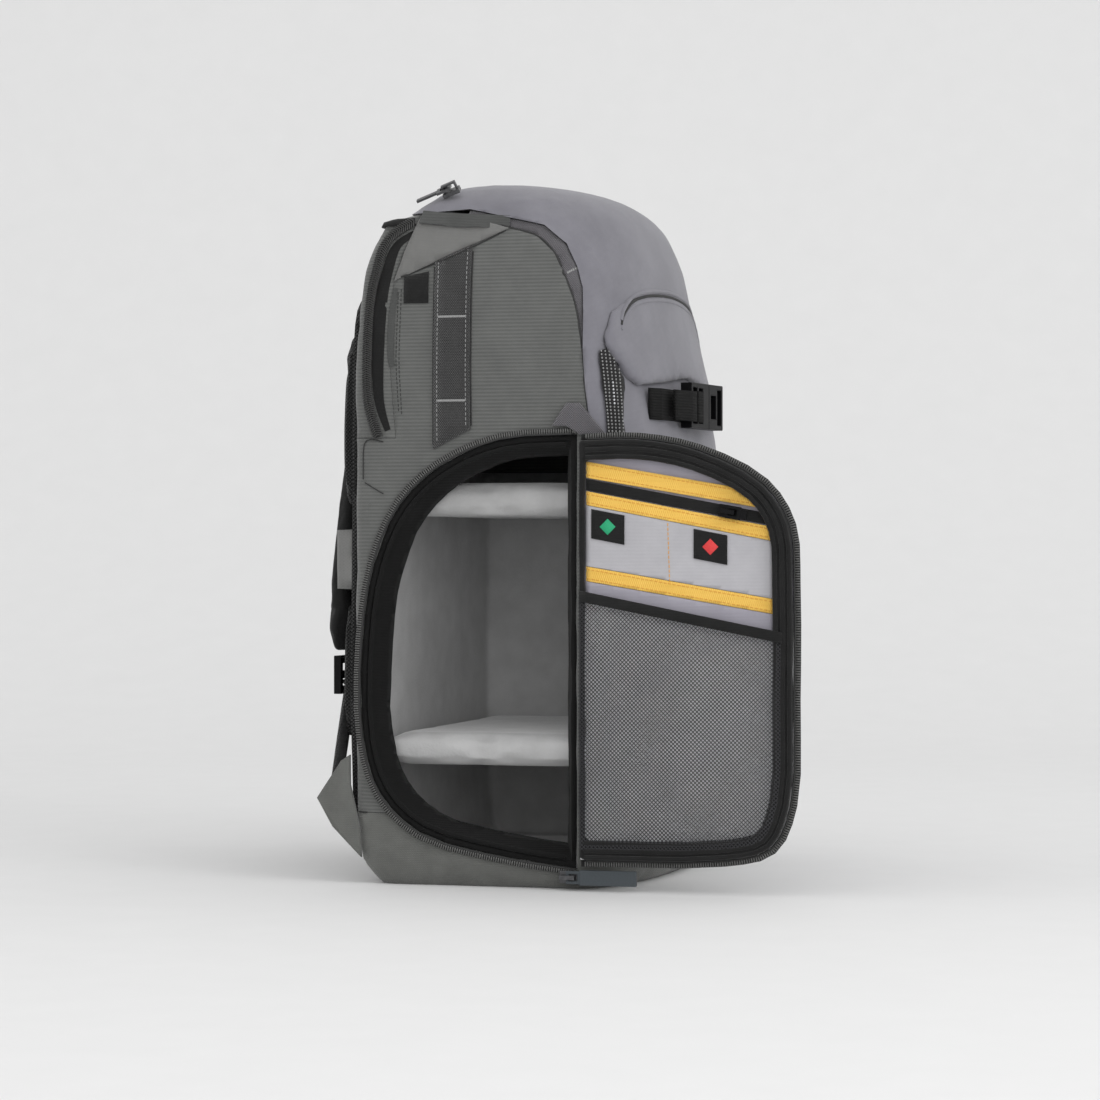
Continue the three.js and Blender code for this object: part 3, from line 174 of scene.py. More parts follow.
def start_material(name, roughness, sockets=None):
    """A material whose shader has its even values set, and the coordinates in millimetres."""
    material = bpy.data.materials.new(name)
    material.use_nodes = True
    shader = material.node_tree.nodes["Principled BSDF"]
    shader.inputs["Roughness"].default_value = roughness
    for socket, value in (sockets or {}).items():
        shader.inputs[socket].default_value = value
    place = add_node(material, "ShaderNodeTexCoord")
    scaled = add_node(
        material,
        "ShaderNodeMapping",
        {"Vector": place.outputs["Object"], "Scale": (1 / MM, 1 / MM, 1 / MM)},
    )
    return material, shader, scaled.outputs["Vector"]


def threads(material, value, spacing):
    """A wave from -1 to 1 whose length is the threads' spacing in millimetres."""
    turned = add_node(
        material,
        "ShaderNodeMath",
        {0: value, 1: 2 * math.pi / spacing},
        operation="MULTIPLY",
    )
    return add_node(material, "ShaderNodeMath", {0: turned.outputs[0]}, operation="SINE").outputs[0]


def maths(material, operation, first, second):
    """One sum of two values."""
    return add_node(material, "ShaderNodeMath", {0: first, 1: second}, operation=operation).outputs[0]


def colour_by(material, shader, value, dark, light):
    """Colours a material from dark to light by a value from 0 to 1."""
    ramp = add_node(material, "ShaderNodeValToRGB", {"Fac": value})
    ramp.color_ramp.elements[0].color = linear(dark)
    ramp.color_ramp.elements[1].color = linear(light)
    material.node_tree.links.new(ramp.outputs["Color"], shader.inputs["Base Color"])


def raise_by(material, shader, value, depth):
    """Raises a surface by a value, as deep as depth in millimetres."""
    bump = add_node(
        material,
        "ShaderNodeBump",
        {"Height": value, "Distance": depth * MM, "Strength": 1.0},
    )
    material.node_tree.links.new(bump.outputs["Normal"], shader.inputs["Normal"])


def woven(name, dark, light, across, along, depth, ribs=0.5, mottle=0.35, blotch=18.0, sheen=0.25):
    """Cloth of crossing threads. across and along are their spacings in millimetres and ribs is
    how much the threads that run round the bag stand out."""
    sockets = {"Sheen Weight": sheen, "Sheen Roughness": 0.5, "Specular IOR Level": 0.25}
    material, shader, place = start_material(name, 0.88, sockets)
    split = add_node(material, "ShaderNodeSeparateXYZ", {"Vector": place})
    side = add_node(material, "ShaderNodeMath", {0: split.outputs["X"]}, operation="ABSOLUTE")
    round_bag = maths(material, "ADD", side.outputs[0], split.outputs["Y"])
    upright = threads(material, round_bag, across)
    level = threads(material, split.outputs["Z"], along)
    crossing = maths(material, "MULTIPLY", upright, level)
    ribbed = maths(material, "MULTIPLY", level, ribs)
    plain = maths(material, "MULTIPLY", crossing, 1 - ribs)
    weave = maths(material, "ADD", ribbed, plain)
    blotches = add_node(
        material,
        "ShaderNodeTexNoise",
        {"Vector": place, "Scale": 1 / blotch, "Detail": 6.0, "Roughness": 0.65},
    )
    weave_share = maths(material, "MULTIPLY_ADD", weave, 0.5 - mottle / 2)
    weave_share.node.inputs[2].default_value = 0.5
    shift = maths(material, "SUBTRACT", blotches.outputs["Fac"], 0.5)
    shifted = maths(material, "MULTIPLY_ADD", shift, 2.2 * mottle)
    material.node_tree.links.new(weave_share, shifted.node.inputs[2])
    colour_by(material, shader, shifted, dark, light)
    raise_by(material, shader, weave, depth)
    return material


# %% [markdown]
# The side panels are polyester with a raised rib that runs level round the bag, about 3 mm from
# one to the next. The hood and front are a close, smooth polyester with a violet cast. The
# corner patches and the base are plain weaves.

# %% Cloth finishes
ribbed_polyester = woven("ribbed_polyester", "#4F504F", "#696A68", 1.1, 2.4, 0.14, ribs=0.75)
# A darker copy of the grey polyester is painted shade, for the hood's hem and the slit pocket's fold.
shaded_polyester = woven("shaded_polyester", "#3C3D3C", "#505150", 1.1, 1.1, 0.1)
smooth_polyester = woven(
    "smooth_polyester", "#616067", "#828188", 0.8, 0.8, 0.05, mottle=0.5, blotch=40, sheen=0.25
)
plain_polyester = woven("plain_polyester", "#616160", "#7C7C7A", 1.0, 1.0, 0.1, ribs=0.2)
coated_polyester = woven(
    "coated_polyester", "#51524F", "#6E6F6C", 1.2, 1.2, 0.12, ribs=0.3, mottle=0.5
)
black_polyester = woven("black_polyester", "#0C0C0C", "#222222", 1.0, 1.0, 0.1, mottle=0.5, sheen=0.1)
air_mesh = woven("air_mesh", "#0C0C0C", "#333333", 2.6, 2.6, 0.8, ribs=0, mottle=0.2, sheen=0.1)
nylon_webbing = woven("nylon_webbing", "#101010", "#4E4E4E", 1.4, 1.9, 0.35, ribs=0.2, mottle=0.15)
shadow_polyester = woven("shadow_polyester", "#050505", "#131313", 1.0, 1.0, 0.1, sheen=0.04)
black_webbing = woven("black_webbing", "#030303", "#181818", 1.4, 1.9, 0.35, mottle=0.1, sheen=0)
grey_webbing = woven("grey_webbing", "#3A383B", "#757377", 1.5, 1.5, 0.3, ribs=0.1, mottle=0.15)
pocket_cloth = woven("pocket_cloth", "#9D9CA0", "#BCBBBF", 0.9, 0.9, 0.06, mottle=0.4, blotch=30)
lining_cloth = woven("lining_cloth", "#8B8892", "#A9A6B0", 0.9, 0.9, 0.06, mottle=0.4, blotch=30)
grosgrain = woven("grosgrain", "#D9A73E", "#F4CC6B", 1.3, 4.0, 0.12, ribs=0.1, mottle=0.25)


# %% [markdown]
# The lining is brushed knit: a soft pile without threads that show. A cloudy noise gives its
# shade, a fine one its pile, and sheen makes its edges pale.


# %% Brushed lining
def brushed(name, dark, light, pile):
    """A brushed cloth with a pile of that size in millimetres."""
    sockets = {"Sheen Weight": 0.6, "Sheen Roughness": 0.35, "Specular IOR Level": 0.1}
    material, shader, place = start_material(name, 0.95, sockets)
    clouds = add_node(
        material, "ShaderNodeTexNoise", {"Vector": place, "Scale": 1 / 22, "Detail": 8.0}
    )
    fuzz = add_node(
        material, "ShaderNodeTexNoise", {"Vector": place, "Scale": 1 / pile, "Detail": 4.0}
    )
    colour_by(material, shader, clouds.outputs["Fac"], dark, light)
    raise_by(material, shader, fuzz.outputs["Fac"], 0.35)
    return material


brushed_knit = brushed("brushed_knit", "#A9A9A9", "#D2D2D2", 1.6)
# Behind the door's net the knit is painted paler, as painted light against the shade inside the net
# pocket.
pale_knit_painted_light = brushed("pale_knit_painted_light", "#D6D6D8", "#F2F2F4", 1.6)


# %% [markdown]
# Hard trim is acetal plastic, zinc with a dark lacquer, and soft rubber. Each has a fine grain
# from its mould, so noise in the bump breaks up the gloss.


# %% Hard finishes
def moulded(name, dark, light, roughness, grain, depth, metallic=0.0, gloss=0.5):
    """A moulded or cast surface with a fine grain in millimetres."""
    sockets = {"Metallic": metallic, "Specular IOR Level": gloss}
    material, shader, place = start_material(name, roughness, sockets)
    texture = add_node(
        material, "ShaderNodeTexNoise", {"Vector": place, "Scale": 1 / grain, "Detail": 5.0}
    )
    colour_by(material, shader, texture.outputs["Fac"], dark, light)
    raise_by(material, shader, texture.outputs["Fac"], depth)
    return material


acetal = moulded("acetal", "#060607", "#0E0E10", 0.4, 1.2, 0.04, gloss=0.12)
lacquered_zinc = moulded("lacquered_zinc", "#3A3A3C", "#6A6A6C", 0.32, 2.0, 0.03, metallic=0.85)
soft_rubber = moulded("soft_rubber", "#30363A", "#42494E", 0.6, 1.0, 0.05)
# The coil is dark nylon, and its pale flecks are painted glints.
coil_nylon_painted_glints = moulded("coil_nylon_painted_glints", "#2B2B2B", "#70706E", 0.35, 1.5, 0.03)
dark_coil = moulded("dark_coil", "#151515", "#454544", 0.4, 1.5, 0.03)
grey_thread = moulded("grey_thread", "#6F6F6F", "#A0A0A0", 0.7, 0.8, 0.05)
black_thread = moulded("black_thread", "#151515", "#333333", 0.7, 0.8, 0.05)
amber_thread = moulded("amber_thread", "#C98A2C", "#E5A94A", 0.7, 0.8, 0.05)
pale_thread = moulded("pale_thread", "#BDBDC2", "#E4E4E8", 0.6, 0.8, 0.05)
green_print = moulded("green_print", "#178A5E", "#24AD79", 0.7, 1.0, 0.04)
red_print = moulded("red_print", "#C22C2E", "#E24444", 0.7, 1.0, 0.04)
net_nylon = moulded("net_nylon", "#1C1C1E", "#343438", 0.6, 1.0, 0.03)
print("materials:", len(bpy.data.materials))

# %% [markdown]
# A solid has only as many faces as its shape needs. To make cloth of it, a copy is merged and
# cut by level and upright planes until no face is longer than a few millimetres. The shape
# stays as it was, and its vertices can then swell and pucker.


# %% Cloth from a solid
def copy_solid(node, name):
    """A copy of a solid's mesh with its loose triangles merged."""
    obj = new_piece(name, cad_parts[node].data.copy())
    pick(obj)
    bpy.ops.object.mode_set(mode="EDIT")
    bpy.ops.mesh.select_all(action="SELECT")
    bpy.ops.mesh.remove_doubles(threshold=0.01 * MM)
    bpy.ops.object.mode_set(mode="OBJECT")
    return obj


def cut_fine(obj, cell, axes=(0, 1, 2)):
    """Cuts a mesh by planes that are a cell apart, in millimetres, along each axis."""
    spots = points_of(obj)
    low, high = spots.min(0), spots.max(0)
    pick(obj)
    bpy.ops.object.mode_set(mode="EDIT")
    for axis in axes:
        count = int((high[axis] - low[axis]) / (cell * MM))
        direction = [0.0, 0.0, 0.0]
        direction[axis] = 1.0
        for i in range(1, count):
            spot = [0.0, 0.0, 0.0]
            spot[axis] = low[axis] + (high[axis] - low[axis]) * i / count
            bpy.ops.mesh.select_all(action="SELECT")
            bpy.ops.mesh.bisect(plane_co=spot, plane_no=direction)
    bpy.ops.mesh.select_all(action="SELECT")
    bpy.ops.mesh.quads_convert_to_tris()
    bpy.ops.object.mode_set(mode="OBJECT")


def points_of(obj):
    """A mesh's vertices as an array."""
    spots = np.zeros(len(obj.data.vertices) * 3)
    obj.data.vertices.foreach_get("co", spots)
    return spots.reshape(-1, 3)


def normals_of(obj):
    """A mesh's vertex normals as an array."""
    return np.array([n.vector for n in obj.data.vertex_normals])


def set_points(obj, spots):
    """Writes an array of vertices back to a mesh."""
    obj.data.vertices.foreach_set("co", spots.ravel())
    obj.data.update()


def crease_distance(obj, degrees=35):
    """How far each vertex is from the nearest sharp edge of its piece."""
    pick(obj)
    bpy.ops.object.mode_set(mode="EDIT")
    bpy.ops.mesh.select_mode(type="EDGE")
    bpy.ops.mesh.select_all(action="DESELECT")
    bpy.ops.mesh.edges_select_sharp(sharpness=math.radians(degrees))
    bpy.ops.object.mode_set(mode="OBJECT")
    creases = [v.co.copy() for v in obj.data.vertices if v.select]
    tree = kdtree.KDTree(len(creases))
    for i, spot in enumerate(creases):
        tree.insert(spot, i)
    tree.balance()
    return np.array([tree.find(v.co)[2] for v in obj.data.vertices])


def relax(obj, share, rounds):
    """Evens out a mesh, each vertex by its own share, towards the middle of its neighbours."""
    pairs = np.array([e.vertices[:] for e in obj.data.edges])
    spots = points_of(obj)
    count = np.bincount(pairs.ravel(), minlength=len(spots))[:, None]
    for _ in range(rounds):
        total = np.zeros_like(spots)
        np.add.at(total, pairs[:, 0], spots[pairs[:, 1]])
        np.add.at(total, pairs[:, 1], spots[pairs[:, 0]])
        spots += share[:, None] * 0.5 * (total / count - spots)
    set_points(obj, spots)


def ripple(spots, size, seed):
    """Smooth noise from -1 to 1 at each spot, with folds of that size in millimetres."""
    shift = Vector((seed * 3.1, seed * 1.7, seed * 2.3))
    return np.array([noise.noise(Vector(s) / (size * MM) + shift) for s in spots])


# what faces away from the bag's middle is its outside
MIDDLE = np.array([0.0, 0.0, 0.23])
swells = {}


def swell(obj, crown, reach, pucker, fold=14, seed=1, inwards=False):
    """Swells a piece between its creases and puckers it along them, all in millimetres."""
    rest = points_of(obj)
    away = crease_distance(obj) / MM
    facing = ((rest - MIDDLE) * normals_of(obj)).sum(1)
    side = np.where(facing < 0, 1.0, 0.0) if inwards else np.where(facing > 0, 1.0, 0.0)
    relax(obj, side * np.clip(away / 10, 0, 1), 12)
    normals = normals_of(obj)
    height = crown * (1 - np.exp(-((away / reach) ** 2)))
    near = np.exp(-away / 16) * np.clip(away / 2.5, 0, 1)
    height += pucker * near * ripple(rest, fold, seed) * 2
    height += 0.5 * pucker * np.clip(away / 20, 0, 1) * ripple(rest, fold * 4, seed + 5)
    spots = points_of(obj) + normals * (height * side * MM)[:, None]
    spots[:, 2] = np.maximum(spots[:, 2], 0)
    set_points(obj, spots)
    swells[obj.name] = (rest, spots - rest, side > 0)
    return obj


def follow(obj, *bases, keep=(1, 1, 1)):
    """Moves a piece that is sewn on another as that one moved, along the axes that it keeps."""
    tree_spots = []
    moves = []
    for base in bases:
        rest, move, outer = swells[base]
        tree_spots.extend(rest[outer])
        moves.extend(move[outer])
    tree = kdtree.KDTree(len(tree_spots))
    for i, spot in enumerate(tree_spots):
        tree.insert(spot, i)
    tree.balance()
    spots = points_of(obj)
    for i, spot in enumerate(spots.copy()):
        found = tree.find_n(spot, 4)
        weights = np.array([1 / (distance + 0.1 * MM) for _, _, distance in found])
        shifts = np.array([moves[index] for _, index, _ in found])
        spots[i] += (shifts * weights[:, None]).sum(0) / weights.sum() * np.array(keep)
    set_points(obj, spots)
    return obj


# %% [markdown]
# The bag's shell is sewn from panels. Foam behind them makes each panel swell a little between
# its seams, and the seams draw the cloth into short puckers.

# %% Bag shell
SHELLS = [
    # solid, finish, slot, cell, crown, reach, pucker
    ("main_body", ribbed_polyester, "side", 8, 2.2, 40, 0.5),
    ("base_panel", coated_polyester, "base", 7, 1.2, 20, 0.9),
    ("hood_front_panel", smooth_polyester, "hood", 8, 2.6, 45, 0.4),
    ("rear_compartment", ribbed_polyester, "side", 7, 2.0, 22, 0.5),
]
for node, finish, slot_name, cell, crown, reach, pucker in SHELLS:
    piece = copy_solid(node, node + "_cloth")
    cut_fine(piece, cell)
    swell(piece, crown, reach, pucker)
    smooth_shade(piece)
    finish_piece(piece, finish, [node])
    print(piece.name, "faces:", len(piece.data.polygons))

# %% [markdown]
# Patches, webbing, the label and the zip's tape lie on those panels, so they move with them.

# %% Sewn-on pieces
SIDEWAYS = (1, 0, 0)
SEWN_ON = [
    # solid, finish, slot, cell, bases, axes kept
    ("corner_patch_left", plain_polyester, "patch", 6, ("main_body_cloth",), SIDEWAYS),
    ("corner_patch_right", plain_polyester, "patch", 6, ("main_body_cloth",), SIDEWAYS),
    ("side_webbing_left", nylon_webbing, "webbing", 8, ("main_body_cloth",), SIDEWAYS),
    ("side_webbing_right", nylon_webbing, "webbing", 8, ("main_body_cloth",), SIDEWAYS),
    ("side_label", black_polyester, "black", 6, ("main_body_cloth",), SIDEWAYS),
    ("rear_zip", black_polyester, "black", 8, ("rear_compartment_cloth",), (0, 0, 0)),
    ("front_strip_left", black_polyester, "strip", 8, ("hood_front_panel_cloth",), (1, 1, 1)),
    ("front_strip_right", black_polyester, "strip", 8, ("hood_front_panel_cloth",), (1, 1, 1)),
    ("top_zip_garage_left", grey_webbing, "webbing", 6, ("main_body_cloth",), SIDEWAYS),
    ("top_zip_garage_right", grey_webbing, "webbing", 6, ("main_body_cloth",), SIDEWAYS),
]
for node, finish, slot_name, cell, bases, keep in SEWN_ON:
    piece = copy_solid(node, node + "_cloth")
    cut_fine(piece, cell)
    follow(piece, *bases, keep=keep)
    smooth_shade(piece)
    finish_piece(piece, finish, [node])

# %% [markdown]
# The front pocket is a moulded foam flap over the front. It keeps its smooth moulded shape, and
# the panel behind it swells less than the pocket stands proud.

# %% Front pocket
pocket = copy_solid("front_pocket", "front_pocket_cloth")
cut_fine(pocket, 5)
relax(pocket, np.ones(len(pocket.data.vertices)), 4)
smooth_shade(pocket, 60)
finish_piece(pocket, smooth_polyester, ["front_pocket"])

# %% [markdown]
# Dividers and back pads are foam in knitted or mesh cloth. A voxel remesh gives even faces, and
# a cloth simulation with pressure inside swells them as foam does. How far a point may move is
# capped, so that a pad stays within its solid's place.


# %% Foam pads
SWELL_STEPS = 14


def foam_pad(node, name, voxel, cap, shrink, finish):
    """A padded piece, swelled by pressure in a cloth simulation."""
    pad = copy_solid(node, name)
    apply_modifier(pad, "REMESH", mode="VOXEL", voxel_size=voxel * MM)
    rest = points_of(pad)
    start = rest - normals_of(pad) * shrink * MM
    set_points(pad, start)
    cloth = pad.modifiers.new("cloth", "CLOTH")
    cloth.settings.use_pressure = True
    cloth.settings.uniform_pressure_force = 4
    cloth.settings.effector_weights.gravity = 0
    cloth.point_cache.frame_end = SWELL_STEPS
    for step in range(1, SWELL_STEPS + 1):
        bpy.context.scene.frame_set(step)
    pick(pad)
    bpy.ops.object.modifier_apply(modifier="cloth")
    bpy.context.scene.frame_set(1)
    move = points_of(pad) - start
    length = np.linalg.norm(move, axis=1)
    allowed = np.minimum(length, cap * MM) / np.maximum(length, 1e-9)
    set_points(pad, start + move * allowed[:, None])
    apply_modifier(pad, "SUBSURF", levels=1, render_levels=1)
    smooth_shade(pad, 60)
    finish_piece(pad, finish, [node])
    print(name, "faces:", len(pad.data.polygons))
    return pad


for level in ("upper", "lower"):
    foam_pad("divider_" + level, f"divider_{level}_pad", 4.5, 5, 2.5, brushed_knit)
    foam_pad("back_pad_" + level, f"back_{level}_foam", 4.5, 4, 2, air_mesh)
for side in ("left", "right"):
    foam_pad(
        "shoulder_strap_" + side, f"shoulder_{side}_pad", 3.5, 3, 1.2, black_polyester
    )

# %% [markdown]
# The lining and the gusset are single layers of soft cloth round the opening. They fold more
# than the shell does.

# %% Lining and gusset
lining = copy_solid("inner_lining", "lining_cloth_tray")
cut_fine(lining, 9)
swell(lining, 1.5, 30, 1.2, fold=26, seed=7, inwards=True)
smooth_shade(lining)
finish_piece(lining, brushed_knit, ["inner_lining"])

gusset = copy_solid("opening_gusset", "opening_gusset_cloth")
cut_fine(gusset, 5)
gusset_spots = points_of(gusset)
gusset_folds = ripple(gusset_spots, 22, 3) * 1.1 + ripple(gusset_spots, 8, 9) * 0.4
set_points(gusset, gusset_spots + normals_of(gusset) * (np.minimum(gusset_folds, 0.2) * MM)[:, None])
smooth_shade(gusset)
finish_piece(gusset, shadow_polyester, ["opening_gusset"])

# %% [markdown]
# The door is a foam panel with a black rim. Its zip's tape runs round the outside, and tapes,
# pockets and tags are sewn to its inside. The same small ripple moves all that lies inside the
# rim, so the layers stay one on the other.


# %% Door
def door_ripple(obj, strength=1.0):
    """Ripples a piece inside the door towards the viewer."""
    spots = points_of(obj)
    flat = spots * np.array([0.0, 1.0, 1.0])
    lift = 0.5 + 0.5 * ripple(flat, 24, 11) + 0.25 * ripple(flat, 9, 12)
    spots[:, 0] -= np.clip(lift, 0, 1.4) * strength * MM
    set_points(obj, spots)


DOOR_LAYERS = [
    # solid, finish, slot
    ("tape_upper", grosgrain, "yellow"),
    ("tape_middle", grosgrain, "yellow"),
    ("tape_lower", grosgrain, "yellow"),
    ("pocket_zip_band", black_polyester, "black"),
    ("pocket_panel", pocket_cloth, "door"),
    ("lower_flap_lining", lining_cloth, "door"),
    ("tag_green", black_polyester, "green"),
    ("tag_red", black_polyester, "red"),
]
for node, finish, slot_name in DOOR_LAYERS:
    piece = copy_solid(node, node + "_cloth")
    cut_fine(piece, 3, axes=(1, 2))
    door_ripple(piece)
    smooth_shade(piece)
    finish_piece(piece, finish, [node])

door = copy_solid("door_panel", "door_panel_cloth")
cut_fine(door, 6, axes=(1, 2))
smooth_shade(door)
finish_piece(door, ribbed_polyester, ["door_panel"])

rim = copy_solid("door_rim", "door_rim_cloth")
apply_modifier(rim, "REMESH", mode="VOXEL", voxel_size=1.6 * MM)
relax(rim, np.ones(len(rim.data.vertices)), 3)
rim_spots = points_of(rim)
rim_folds = np.minimum(ripple(rim_spots, 16, 2) * 0.8, 0.3)
set_points(rim, rim_spots + normals_of(rim) * (rim_folds * MM)[:, None])
smooth_shade(rim, 60)
finish_piece(rim, black_polyester, ["door_rim"])

for node in ("door_zip", "opening_zip", "door_hinge_fold", "mesh_binding"):
    piece = copy_solid(node, node + "_cloth")
    cut_fine(piece, 5, axes=(1, 2))
    smooth_shade(piece)
    finish_piece(piece, black_polyester, [node])

# %% [markdown]
# Straps and bands are flat webbing, so they keep their solids' shape and only get finer faces
# and a little slack.

# %% Webbing and trim
TRIM = [
    # solid, finish, slot, cell, ripple
    ("corner_webbing", grey_webbing, "strip", 4, 0.2),
    ("front_strap_left", black_webbing, "webbing", 4, 0.2),
    ("front_strap_right", black_webbing, "webbing", 4, 0.2),
    ("strap_tail", black_webbing, "webbing", 4, 0.2),
    ("luggage_band", plain_polyester, "webbing", 8, 0.8),
    ("grab_handle", nylon_webbing, "webbing", 6, 0.2),
    ("adjuster_strap_left", nylon_webbing, "webbing", 6, 0.2),
    ("adjuster_strap_right", nylon_webbing, "webbing", 6, 0.2),
    ("strap_wing_left", coated_polyester, "base", 5, 0.4),
    ("strap_wing_right", coated_polyester, "base", 5, 0.4),
    ("back_panel", air_mesh, "black", 9, 0.3),
]
for node, finish, slot_name, cell, slack in TRIM:
    piece = copy_solid(node, node + "_cloth")
    cut_fine(piece, cell)
    spots = points_of(piece)
    set_points(piece, spots + normals_of(piece) * (ripple(spots, 20, 6) * slack * MM)[:, None])
    smooth_shade(piece)
    finish_piece(piece, finish, [node])

# %% [markdown]
# Buckles, locks, sliders and pulls are hard. Their solids stay, welded so that a bevel can round
# their edges.

# %% Hard trim
HARD = {
    "buckle_plug": (acetal, 0.7),
    "buckle_socket": (acetal, 0.9),
    "ladder_lock_left": (acetal, 0.7),
    "ladder_lock_right": (acetal, 0.7),
    "top_slider": (lacquered_zinc, 0.35),
    "top_pull": (lacquered_zinc, 0.4),
    "door_slider": (lacquered_zinc, 0.35),
    "door_pull": (soft_rubber, 0.5),
    "pocket_slider": (acetal, 0.35),
    "pocket_pull": (acetal, 0.4),
}
for node, (finish, round_edge) in HARD.items():
    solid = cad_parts[node]
    solid.data.materials.clear()
    solid.data.materials.append(finish)
    weld = solid.modifiers.new("weld", "WELD")
    weld.merge_threshold = 0.01 * MM
    bevel = solid.modifiers.new("bevel", "BEVEL")
    bevel.width = round_edge * MM
    bevel.segments = 3
    bevel.limit_method = "ANGLE"
    bevel.harden_normals = True

# %% [markdown]
# What repeats, such as a zip's teeth or a seam's stitches, is modelled once and copied along a
# line. The line is given in a side view and cast onto the piece that carries it.


# %% Lines and copies
HALF_WIDTH = 150
SIDES = (("left", -HALF_WIDTH), ("right", HALF_WIDTH))
BAG_MIDDLE_Y = -40
RAY_START, RAY_LENGTH = 0.06, 0.16


def even_line(fine, spacing):
    """Points that are evenly spaced along a fine line."""
    fine = np.array(fine, float)
    steps = np.concatenate([[0], np.cumsum(np.linalg.norm(np.diff(fine, axis=0), axis=1))])
    count = max(int(round(steps[-1] / spacing)), 1)
    marks = (np.arange(count) + 0.5) * steps[-1] / count
    return np.stack([np.interp(marks, steps, fine[:, k]) for k in range(fine.shape[1])], 1)


def smooth_line(spots, spacing):
    """A smooth line through a few points, with its points evenly spaced, all in millimetres."""
    spots = [np.array(s, float) for s in spots]
    fine = []
    for i in range(len(spots) - 1):
        before = spots[max(i - 1, 0)]
        after = spots[min(i + 2, len(spots) - 1)]
        start, end = spots[i], spots[i + 1]
        for t in np.linspace(0, 1, 24, endpoint=False):
            bend = 2 * before - 5 * start + 4 * end - after
            twist = 3 * start - before - 3 * end + after
            fine.append(start + 0.5 * ((end - before) * t + bend * t**2 + twist * t**3))
    fine.append(spots[-1])
    return even_line(fine, spacing)


def beside(line, distance):
    """A line in the side view moved to one side of itself."""
    along = np.gradient(line, axis=0)
    along /= np.linalg.norm(along, axis=1)[:, None]
    return line + np.stack([along[:, 1], -along[:, 0]], 1) * distance


def bvh_of(obj):
    """A tree for casting rays at one piece."""
    return BVHTree.FromObject(obj, bpy.context.evaluated_depsgraph_get())


def directed(found):
    """Adds the direction along the line to each place and normal."""
    rows = []
    for i, (place, normal) in enumerate(found):
        along = found[min(i + 1, len(found) - 1)][0] - found[max(i - 1, 0)][0]
        rows.append((place, along.normalized(), normal))
    return rows


def cast(trees, spots, direction, lift):
    """Casts points in millimetres onto pieces. Gives places, directions along and normals.
    Without a direction the rays run level, towards the bag's upright middle."""
    found = []
    for spot in spots:
        way = Vector(direction) if direction else Vector((-spot[0], BAG_MIDDLE_Y - spot[1], 0))
        way.normalize()
        start = Vector(spot) * MM - way * RAY_START
        hits = [tree.ray_cast(start, way, RAY_LENGTH) for tree in trees]
        hits = [h for h in hits if h[0] is not None]
        if hits:
            place, normal, _, _ = min(hits, key=lambda h: h[3])
            normal = normal if normal.dot(way) < 0 else -normal
            found.append((place + normal * lift * MM, normal))
    return directed(found)


def ring_of(node, inset, spacing, hinge):
    """An even line round a flat piece of the door or opening, inside its outer wall by inset.
    It lies on the piece's outer face and leaves out what is within hinge of the hinge."""
    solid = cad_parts[node].data
    tree = BVHTree.FromPolygons(
        [v.co for v in solid.vertices], [p.vertices[:] for p in solid.polygons]
    )
    low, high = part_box(node)
    middle = (low + high) / 2
    spots = []
    for angle in np.linspace(0, 2 * math.pi, 721):
        way = Vector((0, math.cos(angle), math.sin(angle)))
        place, normal, _, _ = tree.ray_cast(middle + way * 0.4, -way)
        near = place and (place - middle).dot(way) > 0
        if near and abs(place.y - HINGE_LINE * MM) > hinge * MM:
            place = place - normal * inset * MM
            turn = math.atan2(way.z, way.y if middle.y > HINGE_LINE * MM else -way.y)
            spots.append((place.y / MM, place.z / MM, turn))
    spots.sort(key=lambda s: s[2])
    line = even_line([s[:2] for s in spots], spacing)
    outward = Vector((-1, 0, 0))
    return directed([(Vector((low.x, y * MM, z * MM)), outward) for y, z in line])


def copies(name, template, rows, material, body="bag"):
    """Copies a small template to many places, along each line and up from its surface."""
    shape = points_of(template)
    faces = [list(p.vertices) for p in template.data.polygons]
    spots, polygons = [], []
    for place, along, up in rows:
        across = up.cross(along).normalized()
        square_up = along.cross(across).normalized()
        turn = np.array([along, across, square_up])
        offset = len(spots) * len(shape)
        spots.append(shape @ turn + np.array(place))
        polygons.extend([[v + offset for v in face] for face in faces])
    mesh = bpy.data.meshes.new(name)
    mesh.from_pydata(np.concatenate(spots).tolist(), [], polygons)
    piece = new_piece(name, mesh)
    smooth_shade(piece, 50)
    finish_piece(piece, material, body=body)
    print(name, "copies:", len(rows))
    return piece


def cord(name, rows, radius, material):
    """A round cord along a line, such as piping, a seam's dark line and painted shadow along an edge.
    """
    curve = bpy.data.curves.new(name, "CURVE")
    curve.dimensions = "3D"
    curve.bevel_depth = radius * MM
    curve.bevel_resolution = 2
    curve.use_fill_caps = True
    spline = curve.splines.new("POLY")
    spline.points.add(len(rows) - 1)
    for point, (place, _, _) in zip(spline.points, rows):
        point.co = (*place, 1)
    piece = new_piece(name, curve)
    pick(piece)
    bpy.ops.object.convert(target="MESH")
    piece = bpy.context.object
    smooth_shade(piece, 60)
    return finish_piece(piece, material)


def band(name, rows, widths, thick, material):
    """A flat strip of cloth along a line, as wide at each row as its own width."""
    steps = 5
    spots, faces = [], []
    for (place, along, up), width in zip(rows, widths):
        across = up.cross(along).normalized()
        for k in range(steps):
            spots.append(place + across * (k / (steps - 1) - 0.5) * width * MM)
    for i in range(len(rows) - 1):
        for k in range(steps - 1):
            a = i * steps + k
            faces.append((a, a + 1, a + steps + 1, a + steps))
    mesh = bpy.data.meshes.new(name)
    mesh.from_pydata([tuple(v) for v in spots], [], faces)
    piece = new_piece(name, mesh)
    apply_modifier(piece, "SOLIDIFY", thickness=thick * MM, offset=0)
    smooth_shade(piece)
    return finish_piece(piece, material)


